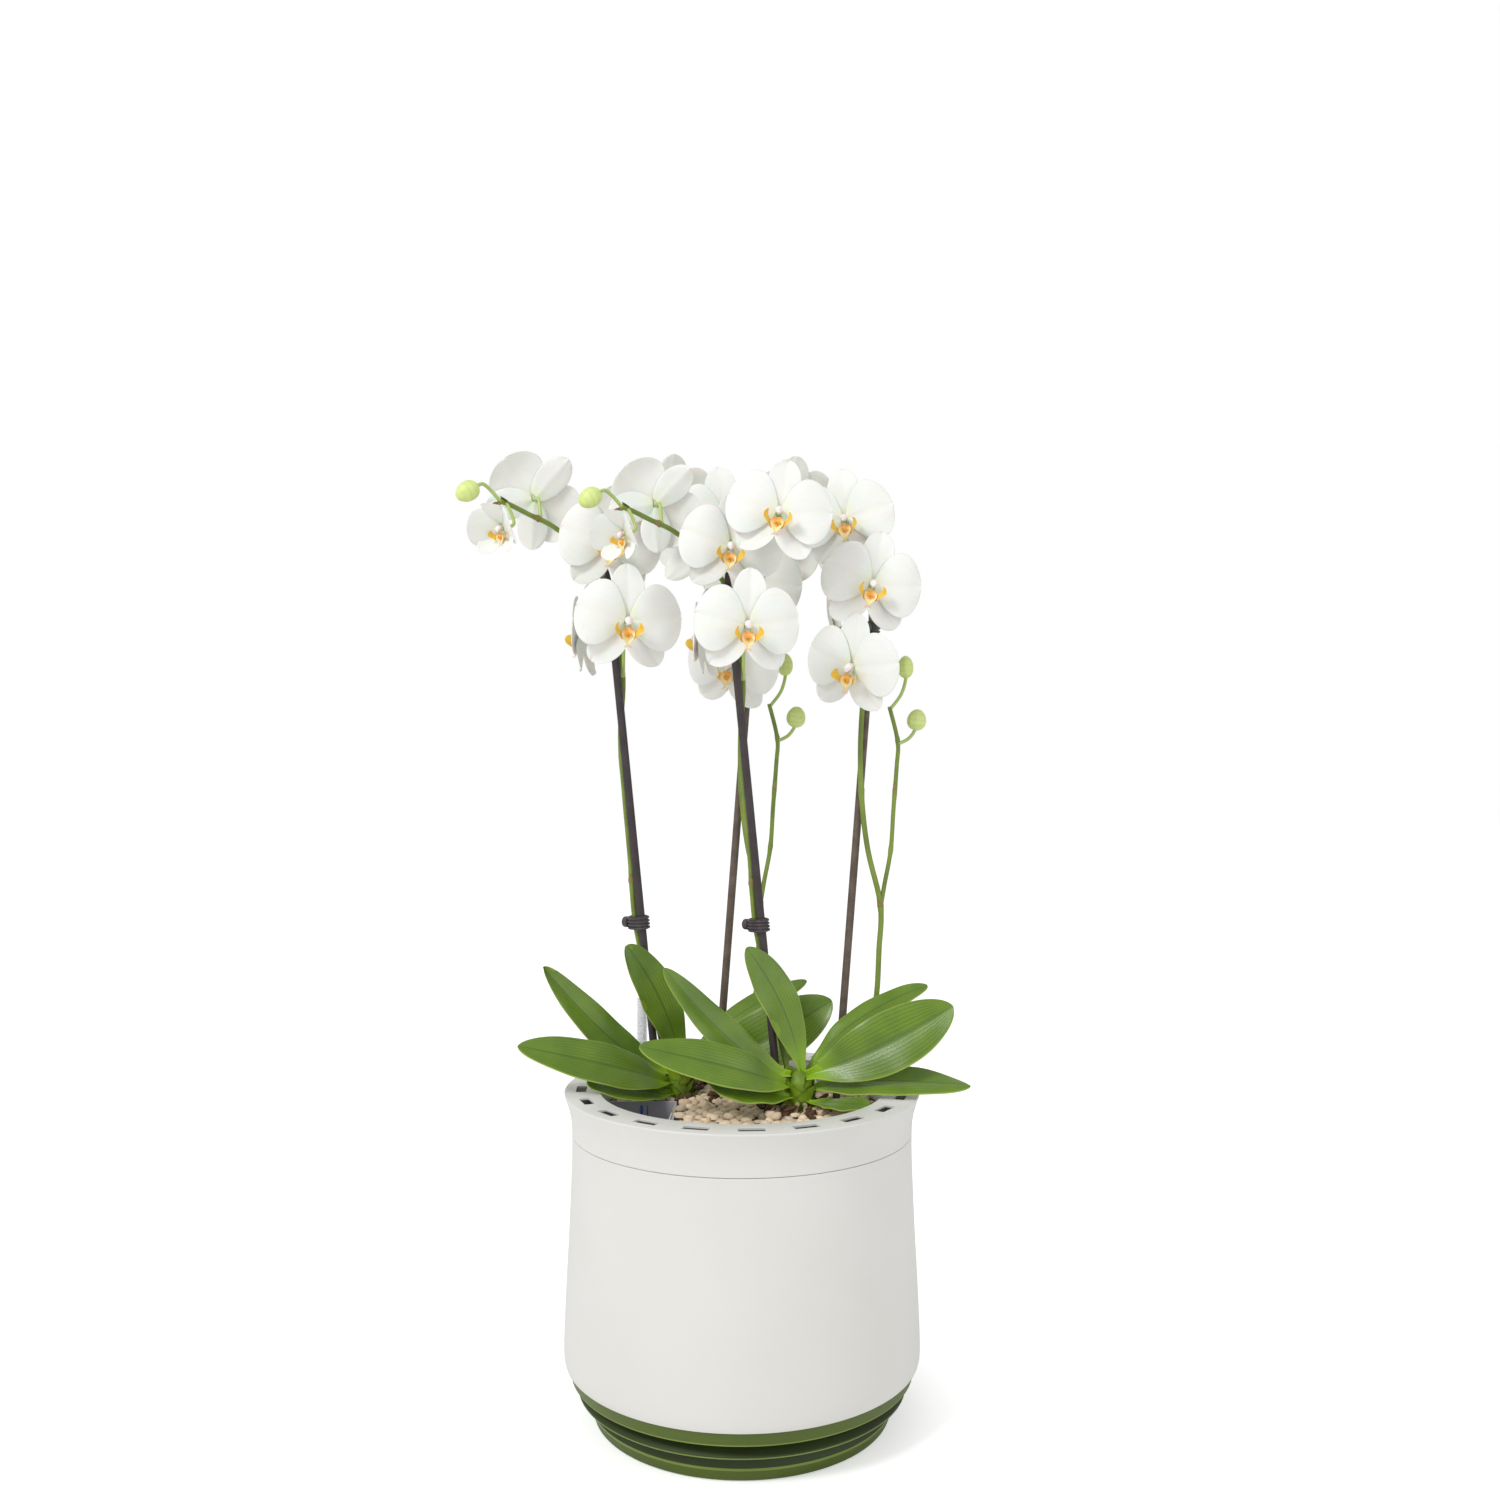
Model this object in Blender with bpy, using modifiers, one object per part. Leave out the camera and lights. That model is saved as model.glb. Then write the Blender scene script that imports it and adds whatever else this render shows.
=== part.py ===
"""Two white moth orchids in a louvred self-watering pot.

Metres, +Z up. The origin is the middle of the pot's foot, on the surface it stands on, and the
pot's front faces -Y. Each plant is laid out once, in its own frame on the surface of the
substrate, and grown twice: the front plant as it is, the rear one turned a little and larger.
"""

import math

import bmesh
import bpy
from mathutils import Matrix, Vector

GAP = 0.0003  # clearance between two pieces that touch

# Pot: outer sizes
FOOT_RADIUS = 0.108
RIM_RADIUS = 0.130
RIM_HEIGHT = 0.2354
SEAM_RADIUS = 0.1243
SEAM_HEIGHT = 0.2051
BELLY_RADIUS = 0.1302
BELLY_HEIGHT = 0.052
SHELL_FOOT_RADIUS = 0.1292
SHELL_FOOT_HEIGHT = 0.0417

# Pot: walls and inner pieces
SHELL_WALL = 0.003
BASE_WALL = 0.003
SPIGOT_HEIGHT = 0.0065
MOUTH_RADIUS = 0.104
RIM_THICKNESS = 0.0014
PLANTER_WALL = 0.0025
RESERVOIR_WALL = 0.002
RESERVOIR_RADIUS = 0.100
RESERVOIR_HEIGHT = 0.036
DRAIN_COUNT = 8
DRAIN_RADIUS = 0.004
DRAIN_CIRCLE = 0.070

# Louvres of the base: lip radius, lip height, and depth and rise of the groove under it
LOUVRES = ((0.1249, 0.0315, 0.0150, 0.0020), (0.1197, 0.0204, 0.0110, 0.0030))
FOOT_LIP_RADIUS = 0.1105
FOOT_LIP_HEIGHT = 0.0081

# Air slots in the rim
SLOT_COUNT = 20
SLOT_TURN = 3.4  # degrees from the front to the middle of the nearest slot
SLOT_CIRCLE = 0.1176
SLOT_LENGTH = 0.018
SLOT_WIDTH = 0.0075

# Substrate, watering shaft and gauge
SUBSTRATE_DROP = 0.0134  # from the rim's top down to the substrate
SHAFT_WALL = 0.0016
SHAFT_SIDE_X = -0.048
SHAFT_BACK_Y = 0.008
SHAFT_RISE = 0.0010  # from the substrate up to the shaft's mouth
GAUGE_SIDE = 143.6  # degrees from the rear left stake to the gauge beside it
GAUGE_RADIUS = 0.004
GAUGE_WALL = 0.001
GAUGE_TOP = 0.295

# Plants
PLANTS = (
    ("front", (0.042, -0.015, 0.0), 0.0, 1.0),
    ("rear", (-0.047, 0.024, -0.0076), 4.9, 1.038),
)  # name, place on the substrate, turn in degrees, growth
CROWN_RADIUS = 0.009
CROWN_HEIGHT = 0.029
ROOT_RADIUS = 0.0065
ROOT_DEPTH = 0.035
LEAF_THICKNESS = 0.0016
STAKE_RADIUS = 0.0029
STAKE_DEPTH = 0.045
SPIKE_RADIUS = 0.0022
TWIG_RADIUS = 0.0017
PEDICEL_RADIUS = 0.0015
PETAL_THICKNESS = 0.0014
FLOWER_RADIUS = 0.036
CLIP_HEIGHT = 0.008
CLIP_WALL = 0.0018

POT_SIDES = 36
TUBE_SIDES = 12

# Leaves: base, point half way along the midrib, tip, width, roll in degrees
LEAVES = {
    "leaf_low_left": (
        (-0.0105, -0.006, 0.020), (-0.047, -0.031, 0.037), (-0.114, -0.038, 0.0545),
        0.034, 48,
    ),
    "leaf_under_left": (
        (-0.0080, -0.0085, 0.012), (-0.036, -0.027, 0.0200), (-0.066, -0.036, 0.0290),
        0.025, 32,
    ),
    "leaf_high_left": (
        (-0.0110, -0.001, 0.027), (-0.049, -0.006, 0.051), (-0.098, -0.013, 0.1055),
        0.027, 58,
    ),
    "leaf_upright": (
        (0.001, 0.000, 0.0315), (-0.0140, -0.002, 0.078), (-0.039, -0.010, 0.1195),
        0.031, 72,
    ),
    "leaf_high_right": (
        (0.009, 0.006, 0.031), (0.043, 0.009, 0.064), (0.095, 0.016, 0.088),
        0.024, 30,
    ),
    "leaf_broad_right": (
        (0.0105, -0.005, 0.028), (0.057, -0.011, 0.0485), (0.1095, -0.014, 0.0785),
        0.044, 70,
    ),
    "leaf_low_right": (
        (0.0105, 0.000, 0.016), (0.052, -0.008, 0.023), (0.121, -0.021, 0.023),
        0.032, 25,
    ),
    "leaf_under_right": (
        (0.0080, -0.0090, 0.008), (0.028, -0.024, 0.0110), (0.048, -0.036, 0.0130),
        0.021, 15,
    ),
}
LEAVES_OF = {"front": tuple(LEAVES), "rear": tuple(LEAVES)[:-2]}

# Stakes: foot at the substrate and tip
STAKES = {
    "stake_left": ((-0.0145, 0.0075, 0.0), (-0.053, -0.007, 0.390)),
    "stake_right": ((0.028, 0.0268, 0.0), (0.0565, 0.032, 0.365)),
}

# Flower spikes: points along each, from the crown up
SPIKE_LEFT = (
    (-0.0075, 0.0105, 0.022), (-0.014, 0.0145, 0.050), (-0.020, 0.0125, 0.080), (-0.028, 0.0085, 0.112),
    (-0.033, 0.0060, 0.140), (-0.036, 0.0046, 0.181), (-0.040, 0.0036, 0.226), (-0.043, 0.0029, 0.269),
    (-0.0412, 0.0030, 0.312), (-0.0465, 0.0012, 0.350), (-0.054, 0.0000, 0.380), (-0.068, -0.0050, 0.401),
    (-0.090, -0.013, 0.418), (-0.107, -0.024, 0.425), (-0.119, -0.032, 0.430), (-0.126, -0.040, 0.4315),
)
SPIKE_RIGHT = (
    (0.0085, 0.0085, 0.022), (0.022, 0.018, 0.031), (0.040, 0.025, 0.042), (0.054, 0.029, 0.060),
    (0.0585, 0.029, 0.080), (0.060, 0.027, 0.112), (0.061, 0.025, 0.146), (0.0515, 0.0235, 0.187),
    (0.047, 0.0235, 0.224), (0.046, 0.0245, 0.262), (0.048, 0.0255, 0.299), (0.0525, 0.026, 0.336),
    (0.054, 0.0275, 0.373), (0.048, 0.030, 0.395), (0.033, 0.031, 0.412), (0.017, 0.029, 0.426),
    (0.001, 0.025, 0.436), (-0.013, 0.014, 0.443), (-0.024, 0.000, 0.449),
)
SIDE_BRANCH = (
    (0.061, 0.025, 0.144), (0.064, 0.0265, 0.161), (0.069, 0.029, 0.187), (0.071, 0.029, 0.217),
    (0.0735, 0.029, 0.250), (0.0742, 0.029, 0.268), (0.068, 0.029, 0.294),
)
# Buds: points along the stalk, then the bud's middle, half width and half length
BUDS_LEFT = (
    (
        (
            (-0.1255, -0.0396, 0.4313), (-0.1310, -0.0420, 0.4375), (-0.1360, -0.0460, 0.4415),
            (-0.1395, -0.0490, 0.4405),
        ),
        (-0.1465, -0.0520, 0.4355), 0.0070, 0.0088,
    ),
)
BUDS_RIGHT = (
    (
        ((0.0742, 0.029, 0.266), (0.082, 0.0275, 0.270), (0.087, 0.026, 0.277)),
        (0.088, 0.025, 0.284), 0.0072, 0.0080,
    ),
    (
        ((0.0685, 0.029, 0.292), (0.077, 0.032, 0.303), (0.081, 0.036, 0.315)),
        (0.081, 0.037, 0.324), 0.0060, 0.0086,
    ),
)

# Flowers: middle, azimuth and pitch that it faces, roll, size against FLOWER_RADIUS, place along
# the spike. Azimuth 0 faces the front and 90 the right; the place counts the spike's points from
# its foot.
FLOWERS_LEFT = {
    "flower_01": ((-0.038, -0.048, 0.348), 8, -4, 2, 1.0, 8.0),
    "flower_02": ((-0.069, 0.004, 0.343), -102, 0, 0, 0.92, 8.6),
    "flower_03": ((-0.050, -0.022, 0.406), 4, -4, 6, 1.0, 10.4),
    "flower_04": ((-0.123, -0.052, 0.411), -30, -18, 0, 0.66, 14.4),
    "flower_05": ((-0.105, 0.002, 0.440), -165, 6, -40, 0.95, 12.5),
}
FLOWERS_RIGHT = {
    "flower_06": ((0.038, 0.001, 0.322), -30, -12, 12, 1.0, 10.8),
    "flower_07": ((0.052, -0.004, 0.381), 4, 0, 14, 1.0, 11.9),
    "flower_08": ((0.033, 0.008, 0.430), -10, 2, -6, 0.98, 13.9),
    "flower_09": ((-0.016, -0.040, 0.427), 0, 5, 10, 1.0, 17.8),
    "flower_10": ((0.016, 0.052, 0.420), 150, 0, 0, 1.0, 14.6),
    "flower_11": ((-0.003, 0.030, 0.447), 180, 20, 0, 0.86, 16.0),
    "flower_12": ((0.030, 0.050, 0.353), -100, -10, 0, 0.90, 10.1),
}
FLOWERS_OF = {
    "front": tuple({**FLOWERS_LEFT, **FLOWERS_RIGHT}),
    "rear": tuple(name for name in {**FLOWERS_LEFT, **FLOWERS_RIGHT} if name != "flower_09"),
}

# Clips: spike, stake, height above the substrate
CLIPS = {"clip_left": ("left", "stake_left", 0.134), "clip_right": ("right", "stake_right", 0.352)}

# Outline of a flower: direction, half width in degrees and reach of each lobe, against its radius
LOBES = ((90, 26, 1.0), (8, 44, 1.0), (172, 44, 1.0), (-46, 26, 0.98), (-134, 26, 0.98))

# --- worked out from the sizes above ---
MOUTH_CLEAR = MOUTH_RADIUS - GAP
RING_UNDERSIDE = RIM_HEIGHT - RIM_THICKNESS
PLANTER_RADIUS = MOUTH_RADIUS + PLANTER_WALL
RESERVOIR_FOOT = BASE_WALL + GAP
PLANTER_FOOT = RESERVOIR_HEIGHT + GAP
PLANTER_TOP = RING_UNDERSIDE - GAP
PLANTER_FLOOR = PLANTER_FOOT + PLANTER_WALL
BED_FOOT = PLANTER_FLOOR + GAP
BED_TOP = RIM_HEIGHT - SUBSTRATE_DROP
SHAFT_RADIUS = MOUTH_RADIUS - 2 * GAP
SHAFT_TOP = BED_TOP + SHAFT_RISE

COLLECTION = "potted_orchid"
CUTTERS = "potted_orchid_cutters"


def clear_scene():
    """Removes every object, so that the scene holds only this model."""
    for obj in list(bpy.data.objects):
        bpy.data.objects.remove(obj, do_unlink=True)


def collection(name):
    """The scene's collection of this name, made when it is first asked for."""
    found = bpy.data.collections.get(name)
    if found is None:
        found = bpy.data.collections.new(name)
        bpy.context.scene.collection.children.link(found)
    return found


def finish(name, colour, roughness, metallic=0.0, alpha=1.0):
    """A Principled material."""
    material = bpy.data.materials.new(name)
    material.use_nodes = True
    shader = material.node_tree.nodes["Principled BSDF"]
    shader.inputs["Base Color"].default_value = (*colour, 1.0)
    shader.inputs["Roughness"].default_value = roughness
    shader.inputs["Metallic"].default_value = metallic
    shader.inputs["Alpha"].default_value = alpha
    return material


def place(name, data, material=None, parent=None):
    """Puts mesh or curve data into the model as a named object."""
    obj = bpy.data.objects.new(name, data)
    collection(COLLECTION).objects.link(obj)
    if material is not None:
        data.materials.append(material)
    obj.parent = parent
    return obj


def as_cutter(obj):
    """Moves an object to the cutters, which aren't part of the model."""
    for home in list(obj.users_collection):
        home.objects.unlink(obj)
    collection(CUTTERS).objects.link(obj)
    obj.hide_render = True
    obj.display_type = "WIRE"
    return obj


def boolean(obj, other, operation="DIFFERENCE"):
    """Cuts an object by another, or joins another to it."""
    cut = obj.modifiers.new(other.name, "BOOLEAN")
    cut.operation = operation
    cut.solver = "EXACT"
    cut.object = as_cutter(other)


def mesh_of(name, bm):
    """Makes a mesh of a bmesh and frees it."""
    mesh = bpy.data.meshes.new(name)
    bm.to_mesh(mesh)
    bm.free()
    return mesh


def turned(name, profile, material=None, parent=None, sides=POT_SIDES, closed=False):
    """A body turned about Z from (radius, height) points that run down its outer side."""
    bm = bmesh.new()
    verts = [bm.verts.new((radius, 0.0, height)) for radius, height in profile]
    pairs = list(zip(verts, verts[1:]))
    if closed:
        pairs.append((verts[-1], verts[0]))
    for pair in pairs:
        bm.edges.new(pair)
    obj = place(name, mesh_of(name, bm), material, parent)
    screw = obj.modifiers.new("Turn", "SCREW")
    screw.steps = screw.render_steps = sides
    screw.use_merge_vertices = True
    screw.merge_threshold = 0.00001
    screw.use_smooth_shade = True
    return obj


def tube_mesh(name, points, radii, sides_level=1):
    """A closed mesh tube along points, its ends capped and welded."""
    curve = bpy.data.curves.new(name, "CURVE")
    curve.dimensions = "3D"
    curve.bevel_depth = 1.0
    curve.bevel_resolution = sides_level
    curve.use_fill_caps = True
    spline = curve.splines.new("POLY")
    spline.points.add(len(points) - 1)
    for point, here, radius in zip(spline.points, points, radii):
        point.co = (*here, 1.0)
        point.radius = radius
    guide = place(name + "_guide", curve)
    bpy.context.view_layer.update()
    evaluated = guide.evaluated_get(bpy.context.evaluated_depsgraph_get())
    mesh = bpy.data.meshes.new_from_object(evaluated)
    bpy.data.objects.remove(guide, do_unlink=True)
    bpy.data.curves.remove(curve)
    bm = bmesh.new()
    bm.from_mesh(mesh)
    bmesh.ops.remove_doubles(bm, verts=bm.verts, dist=0.00001)
    bmesh.ops.recalc_face_normals(bm, faces=bm.faces)
    bm.to_mesh(mesh)
    bm.free()
    mesh.name = name
    return mesh


def tube(name, points, radii, material=None, parent=None, sides_level=1):
    """An object of tube_mesh."""
    return place(name, tube_mesh(name, points, radii, sides_level), material, parent)


def along(points, at):
    """The point this many points along a route, between two of them where it isn't whole."""
    index = min(int(at), len(points) - 2)
    return Vector(points[index]).lerp(Vector(points[index + 1]), at - index)


def at_height(points, height):
    """The point of a rising route at this height."""
    for low, high in zip(points, points[1:]):
        if low[2] <= height <= high[2]:
            return Vector(low).lerp(Vector(high), (height - low[2]) / (high[2] - low[2]))
    raise ValueError("the route doesn't reach that height")


# --- Pot ---------------------------------------------------------------------------------------


def build_base(material):
    """The green base: a tray whose outside steps in under each louvre lip down to the foot."""
    spigot_radius = SHELL_FOOT_RADIUS - SHELL_WALL - 2 * GAP
    shoulder = SHELL_FOOT_HEIGHT - GAP
    top = shoulder + SPIGOT_HEIGHT
    outside = [(spigot_radius, top), (spigot_radius, shoulder), (SHELL_FOOT_RADIUS - 0.0014, shoulder)]
    for radius, height, depth, rise in LOUVRES:
        outside += [(radius, height), (radius - depth, height - rise)]
        last_groove = (radius - depth, height - rise)
    outside += [
        (FOOT_LIP_RADIUS, FOOT_LIP_HEIGHT + 0.0015),
        (FOOT_LIP_RADIUS, FOOT_LIP_HEIGHT),
        (FOOT_RADIUS, 0.0012),
        (FOOT_RADIUS - 0.0015, 0.0),
    ]
    first_groove = (LOUVRES[0][0] - LOUVRES[0][2], LOUVRES[0][1] - LOUVRES[0][3])
    inside = [
        (0.0, BASE_WALL),
        (RESERVOIR_RADIUS + 0.002, BASE_WALL),
        (last_groove[0] - BASE_WALL, last_groove[1] + 0.001),
        (first_groove[0] - BASE_WALL, first_groove[1] + 0.002),
        (spigot_radius - BASE_WALL, LOUVRES[0][1] + 0.006),
        (spigot_radius - BASE_WALL, top),
    ]
    return turned("louvred_base", inside + outside + [(0.0, 0.0)], material)


def build_shell(material):
    """The white outer shell, widest near its foot, open at both ends."""
    top = SEAM_HEIGHT
    rise = top - BELLY_HEIGHT
    swell = BELLY_RADIUS - SEAM_RADIUS
    outside = [
        (SEAM_RADIUS, top),
        (SEAM_RADIUS + 0.02 * swell, top - 0.12 * rise),
        (SEAM_RADIUS + 0.32 * swell, top - 0.42 * rise),
        (SEAM_RADIUS + 0.74 * swell, top - 0.74 * rise),
        (BELLY_RADIUS, BELLY_HEIGHT),
        (SHELL_FOOT_RADIUS, SHELL_FOOT_HEIGHT),
    ]
    inside = [(radius - SHELL_WALL, height) for radius, height in reversed(outside)]
    return turned("outer_shell", outside + inside, material, closed=True)


def build_collar(material):
    """The flared collar with its flat rim, pierced by the air slots."""
    foot = SEAM_HEIGHT + GAP
    rise = RIM_HEIGHT - foot
    flare = RIM_RADIUS - SEAM_RADIUS
    outside = [
        (MOUTH_RADIUS, RIM_HEIGHT),
        (RIM_RADIUS - 0.001, RIM_HEIGHT),
        (RIM_RADIUS, RIM_HEIGHT - 0.001),
        (SEAM_RADIUS + 0.66 * flare, RIM_HEIGHT - 0.24 * rise),
        (SEAM_RADIUS + 0.24 * flare, RIM_HEIGHT - 0.50 * rise),
        (SEAM_RADIUS, foot),
    ]
    inside = [
        (SEAM_RADIUS - SHELL_WALL, foot),
        (SEAM_RADIUS + 0.24 * flare - SHELL_WALL, RIM_HEIGHT - 0.50 * rise),
        (SEAM_RADIUS + 0.5 * flare - SHELL_WALL, RING_UNDERSIDE),
        (MOUTH_RADIUS, RING_UNDERSIDE),
    ]
    collar = turned("rim_collar", outside + inside, material, closed=True)
    bm = bmesh.new()
    for index in range(SLOT_COUNT):
        angle = math.tau * index / SLOT_COUNT + math.radians(SLOT_TURN - 90)
        turn = Matrix.Rotation(angle, 4, "Z")
        where = Matrix.Translation((SLOT_CIRCLE, 0.0, RIM_HEIGHT - RIM_THICKNESS / 2))
        size = Matrix.Diagonal((SLOT_WIDTH, SLOT_LENGTH, 3 * RIM_THICKNESS, 1.0))
        bmesh.ops.create_cube(bm, size=1.0, matrix=turn @ where @ size)
    boolean(collar, place("rim_slots", mesh_of("rim_slots", bm)))
    return collar


def build_reservoir(material):
    """The water reservoir: a cup on the floor of the base, which carries the planter."""
    draft = 0.002
    foot_radius = RESERVOIR_RADIUS - draft
    profile = [
        (0.0, RESERVOIR_FOOT + RESERVOIR_WALL),
        (foot_radius - RESERVOIR_WALL, RESERVOIR_FOOT + RESERVOIR_WALL),
        (RESERVOIR_RADIUS - RESERVOIR_WALL, RESERVOIR_HEIGHT),
        (RESERVOIR_RADIUS, RESERVOIR_HEIGHT),
        (foot_radius, RESERVOIR_FOOT),
        (0.0, RESERVOIR_FOOT),
    ]
    return turned("water_reservoir", profile, material)


def build_planter(material):
    """The inner planter, which stands on the reservoir and ends under the rim."""
    profile = [
        (0.0, PLANTER_FLOOR),
        (PLANTER_RADIUS - PLANTER_WALL, PLANTER_FLOOR),
        (PLANTER_RADIUS - PLANTER_WALL, PLANTER_TOP),
        (PLANTER_RADIUS, PLANTER_TOP),
        (PLANTER_RADIUS, PLANTER_FOOT),
        (0.0, PLANTER_FOOT),
    ]
    planter = turned("inner_planter", profile, material)
    bm = bmesh.new()
    for index in range(DRAIN_COUNT):
        angle = math.tau * (index + 0.5) / DRAIN_COUNT
        across, back = DRAIN_CIRCLE * math.cos(angle), DRAIN_CIRCLE * math.sin(angle)
        middle = (across, back, PLANTER_FOOT + PLANTER_WALL / 2)
        bmesh.ops.create_cone(
            bm, cap_ends=True, segments=8, radius1=DRAIN_RADIUS, radius2=DRAIN_RADIUS,
            depth=3 * PLANTER_WALL, matrix=Matrix.Translation(middle),
        )
    boolean(planter, place("drain_holes", mesh_of("drain_holes", bm)))
    return planter


def shaft_outline(radius, side_x, back_y, arc_steps=7):
    """Corners of the shaft in plan: an arc inside the planter's wall, a back wall and a side wall."""
    start = math.atan2(-math.sqrt(radius**2 - side_x**2), side_x)
    end = -math.pi - math.asin(back_y / radius)
    arc = [start + (end - start) * step / arc_steps for step in range(arc_steps + 1)]
    return [(radius * math.cos(a), radius * math.sin(a)) for a in arc] + [(side_x, back_y)]


def extruded(name, outlines, low, high, material=None):
    """A flat outline, with any holes, made solid between two heights."""
    curve = bpy.data.curves.new(name, "CURVE")
    curve.dimensions = "2D"
    curve.fill_mode = "BOTH"
    curve.extrude = (high - low) / 2
    for outline in outlines:
        spline = curve.splines.new("POLY")
        spline.points.add(len(outline) - 1)
        spline.use_cyclic_u = True
        for point, (x, y) in zip(spline.points, outline):
            point.co = (x, y, 0.0, 1.0)
    guide = place(name + "_guide", curve)
    bpy.context.view_layer.update()
    evaluated = guide.evaluated_get(bpy.context.evaluated_depsgraph_get())
    mesh = bpy.data.meshes.new_from_object(evaluated)
    bpy.data.objects.remove(guide, do_unlink=True)
    bpy.data.curves.remove(curve)
    bm = bmesh.new()
    bm.from_mesh(mesh)
    bmesh.ops.remove_doubles(bm, verts=bm.verts, dist=0.00001)
    bmesh.ops.recalc_face_normals(bm, faces=bm.faces)
    bm.to_mesh(mesh)
    bm.free()
    obj = place(name, mesh, material)
    obj.location.z = (low + high) / 2
    return obj


def build_shaft(material):
    """The watering shaft: an open well at the planter's left front, down to the planter's floor."""
    wall = SHAFT_WALL
    outer = shaft_outline(SHAFT_RADIUS, SHAFT_SIDE_X, SHAFT_BACK_Y)
    inner = shaft_outline(SHAFT_RADIUS - wall, SHAFT_SIDE_X - wall, SHAFT_BACK_Y - wall)
    return extruded("watering_shaft", (outer, inner), BED_FOOT, SHAFT_TOP, material)


def gauge_place():
    """Where the gauge stands: beside the rear plant's left stake, clear of it up to its top."""
    _, origin, turn, growth = PLANTS[1]
    above = max(0.0, GAUGE_TOP - BED_TOP - origin[2]) / growth
    stake = at_height(STAKES["stake_left"], above) * growth
    stake.rotate(Matrix.Rotation(math.radians(turn), 3, "Z"))
    apart = STAKE_RADIUS * growth + GAUGE_RADIUS + GAP
    side = math.radians(GAUGE_SIDE)
    return (origin[0] + stake.x + apart * math.cos(side), origin[1] + stake.y + apart * math.sin(side), 0.0)


def build_gauge(material):
    """The clear water gauge, a tube that stands in the substrate."""
    bore = GAUGE_RADIUS - GAUGE_WALL
    profile = [(GAUGE_RADIUS, GAUGE_TOP), (GAUGE_RADIUS, BED_FOOT), (bore, BED_FOOT), (bore, GAUGE_TOP)]
    gauge = turned("water_gauge", profile, material, sides=TUBE_SIDES, closed=True)
    gauge.location = gauge_place()
    return gauge


def build_substrate(material, plants):
    """The bed of granules, cut for the roots, the stakes, the shaft and the gauge."""
    crest = 0.0015
    profile = [
        (0.0, BED_TOP),
        (0.5 * MOUTH_CLEAR, BED_TOP),
        (0.9 * MOUTH_CLEAR, BED_TOP - crest),
        (MOUTH_CLEAR, BED_TOP - 2 * crest),
        (MOUTH_CLEAR, BED_FOOT),
        (0.0, BED_FOOT),
    ]
    bed = turned("substrate_bed", profile, material)
    beyond = shaft_outline(MOUTH_RADIUS + 0.01, SHAFT_SIDE_X + GAP, SHAFT_BACK_Y + GAP)
    boolean(bed, extruded("shaft_cut", (beyond,), BED_FOOT - 0.01, BED_TOP + 0.01))
    reach = (BED_TOP + 0.01, BED_FOOT - 0.01)
    hole = GAUGE_RADIUS + GAP
    hole_profile = [(0.0, reach[0]), (hole, reach[0]), (hole, reach[1]), (0.0, reach[1])]
    gauge_cut = turned("gauge_cut", hole_profile, sides=TUBE_SIDES)
    gauge_cut.location = gauge_place()
    boolean(bed, gauge_cut)
    for name, plant in plants.items():
        boolean(bed, turned(f"{name}_root_cut", crown_profile(GAP), parent=plant, sides=TUBE_SIDES))
        for stake in STAKES:
            boolean(bed, stake_body(f"{name}_{stake}_cut", stake, plant, allowance=GAP))
    return bed


# --- Plants ------------------------------------------------------------------------------------


def crown_profile(allowance=0.0):
    """Outline of the crown and its root ball, grown by an allowance."""
    return [
        (0.0, CROWN_HEIGHT + allowance),
        (0.55 * CROWN_RADIUS, CROWN_HEIGHT - 0.001 + allowance),
        (0.92 * CROWN_RADIUS + allowance, 0.80 * CROWN_HEIGHT),
        (CROWN_RADIUS + allowance, 0.25 * CROWN_HEIGHT),
        (0.9 * CROWN_RADIUS + allowance, -0.002),
        (ROOT_RADIUS + allowance, -ROOT_DEPTH - allowance),
        (0.0, -ROOT_DEPTH - allowance),
    ]


def stake_body(name, stake, plant, material=None, allowance=0.0):
    """A stake from below the substrate to its pointed tip, or its hole."""
    foot, tip = (Vector(end) for end in STAKES[stake])
    direction = (tip - foot).normalized()
    buried = foot - direction * (STAKE_DEPTH + allowance)
    radius = STAKE_RADIUS + allowance
    if allowance:
        return tube(name, (buried, foot + direction * 0.01), (radius, radius), parent=plant, sides_level=2)
    points = (buried, tip - direction * 0.012, tip - direction * 0.004, tip)
    radii = (radius, radius, 0.75 * radius, 0.3 * radius)
    return tube(name, points, radii, material, plant, sides_level=2)


def leaf_half_width(t):
    """Half width of a blade at t along it, against its widest: a narrow base and a blunt tip."""
    widest = 0.58
    if t < widest:
        return 0.20 + 0.80 * math.sin(math.pi / 2 * t / widest)
    return max(0.10, math.sqrt(1.0 - ((t - widest) / (1.0 - widest)) ** 2) ** 1.15)


def leaf_spine(base, middle, tip, t):
    """Point and direction at t of the arc from base to tip through its middle."""
    bend = 2 * middle - (base + tip) / 2
    point = base * (1 - t) ** 2 + bend * (2 * t * (1 - t)) + tip * t**2
    direction = (bend - base) * (2 * (1 - t)) + (tip - bend) * (2 * t)
    return point, direction.normalized()


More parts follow.
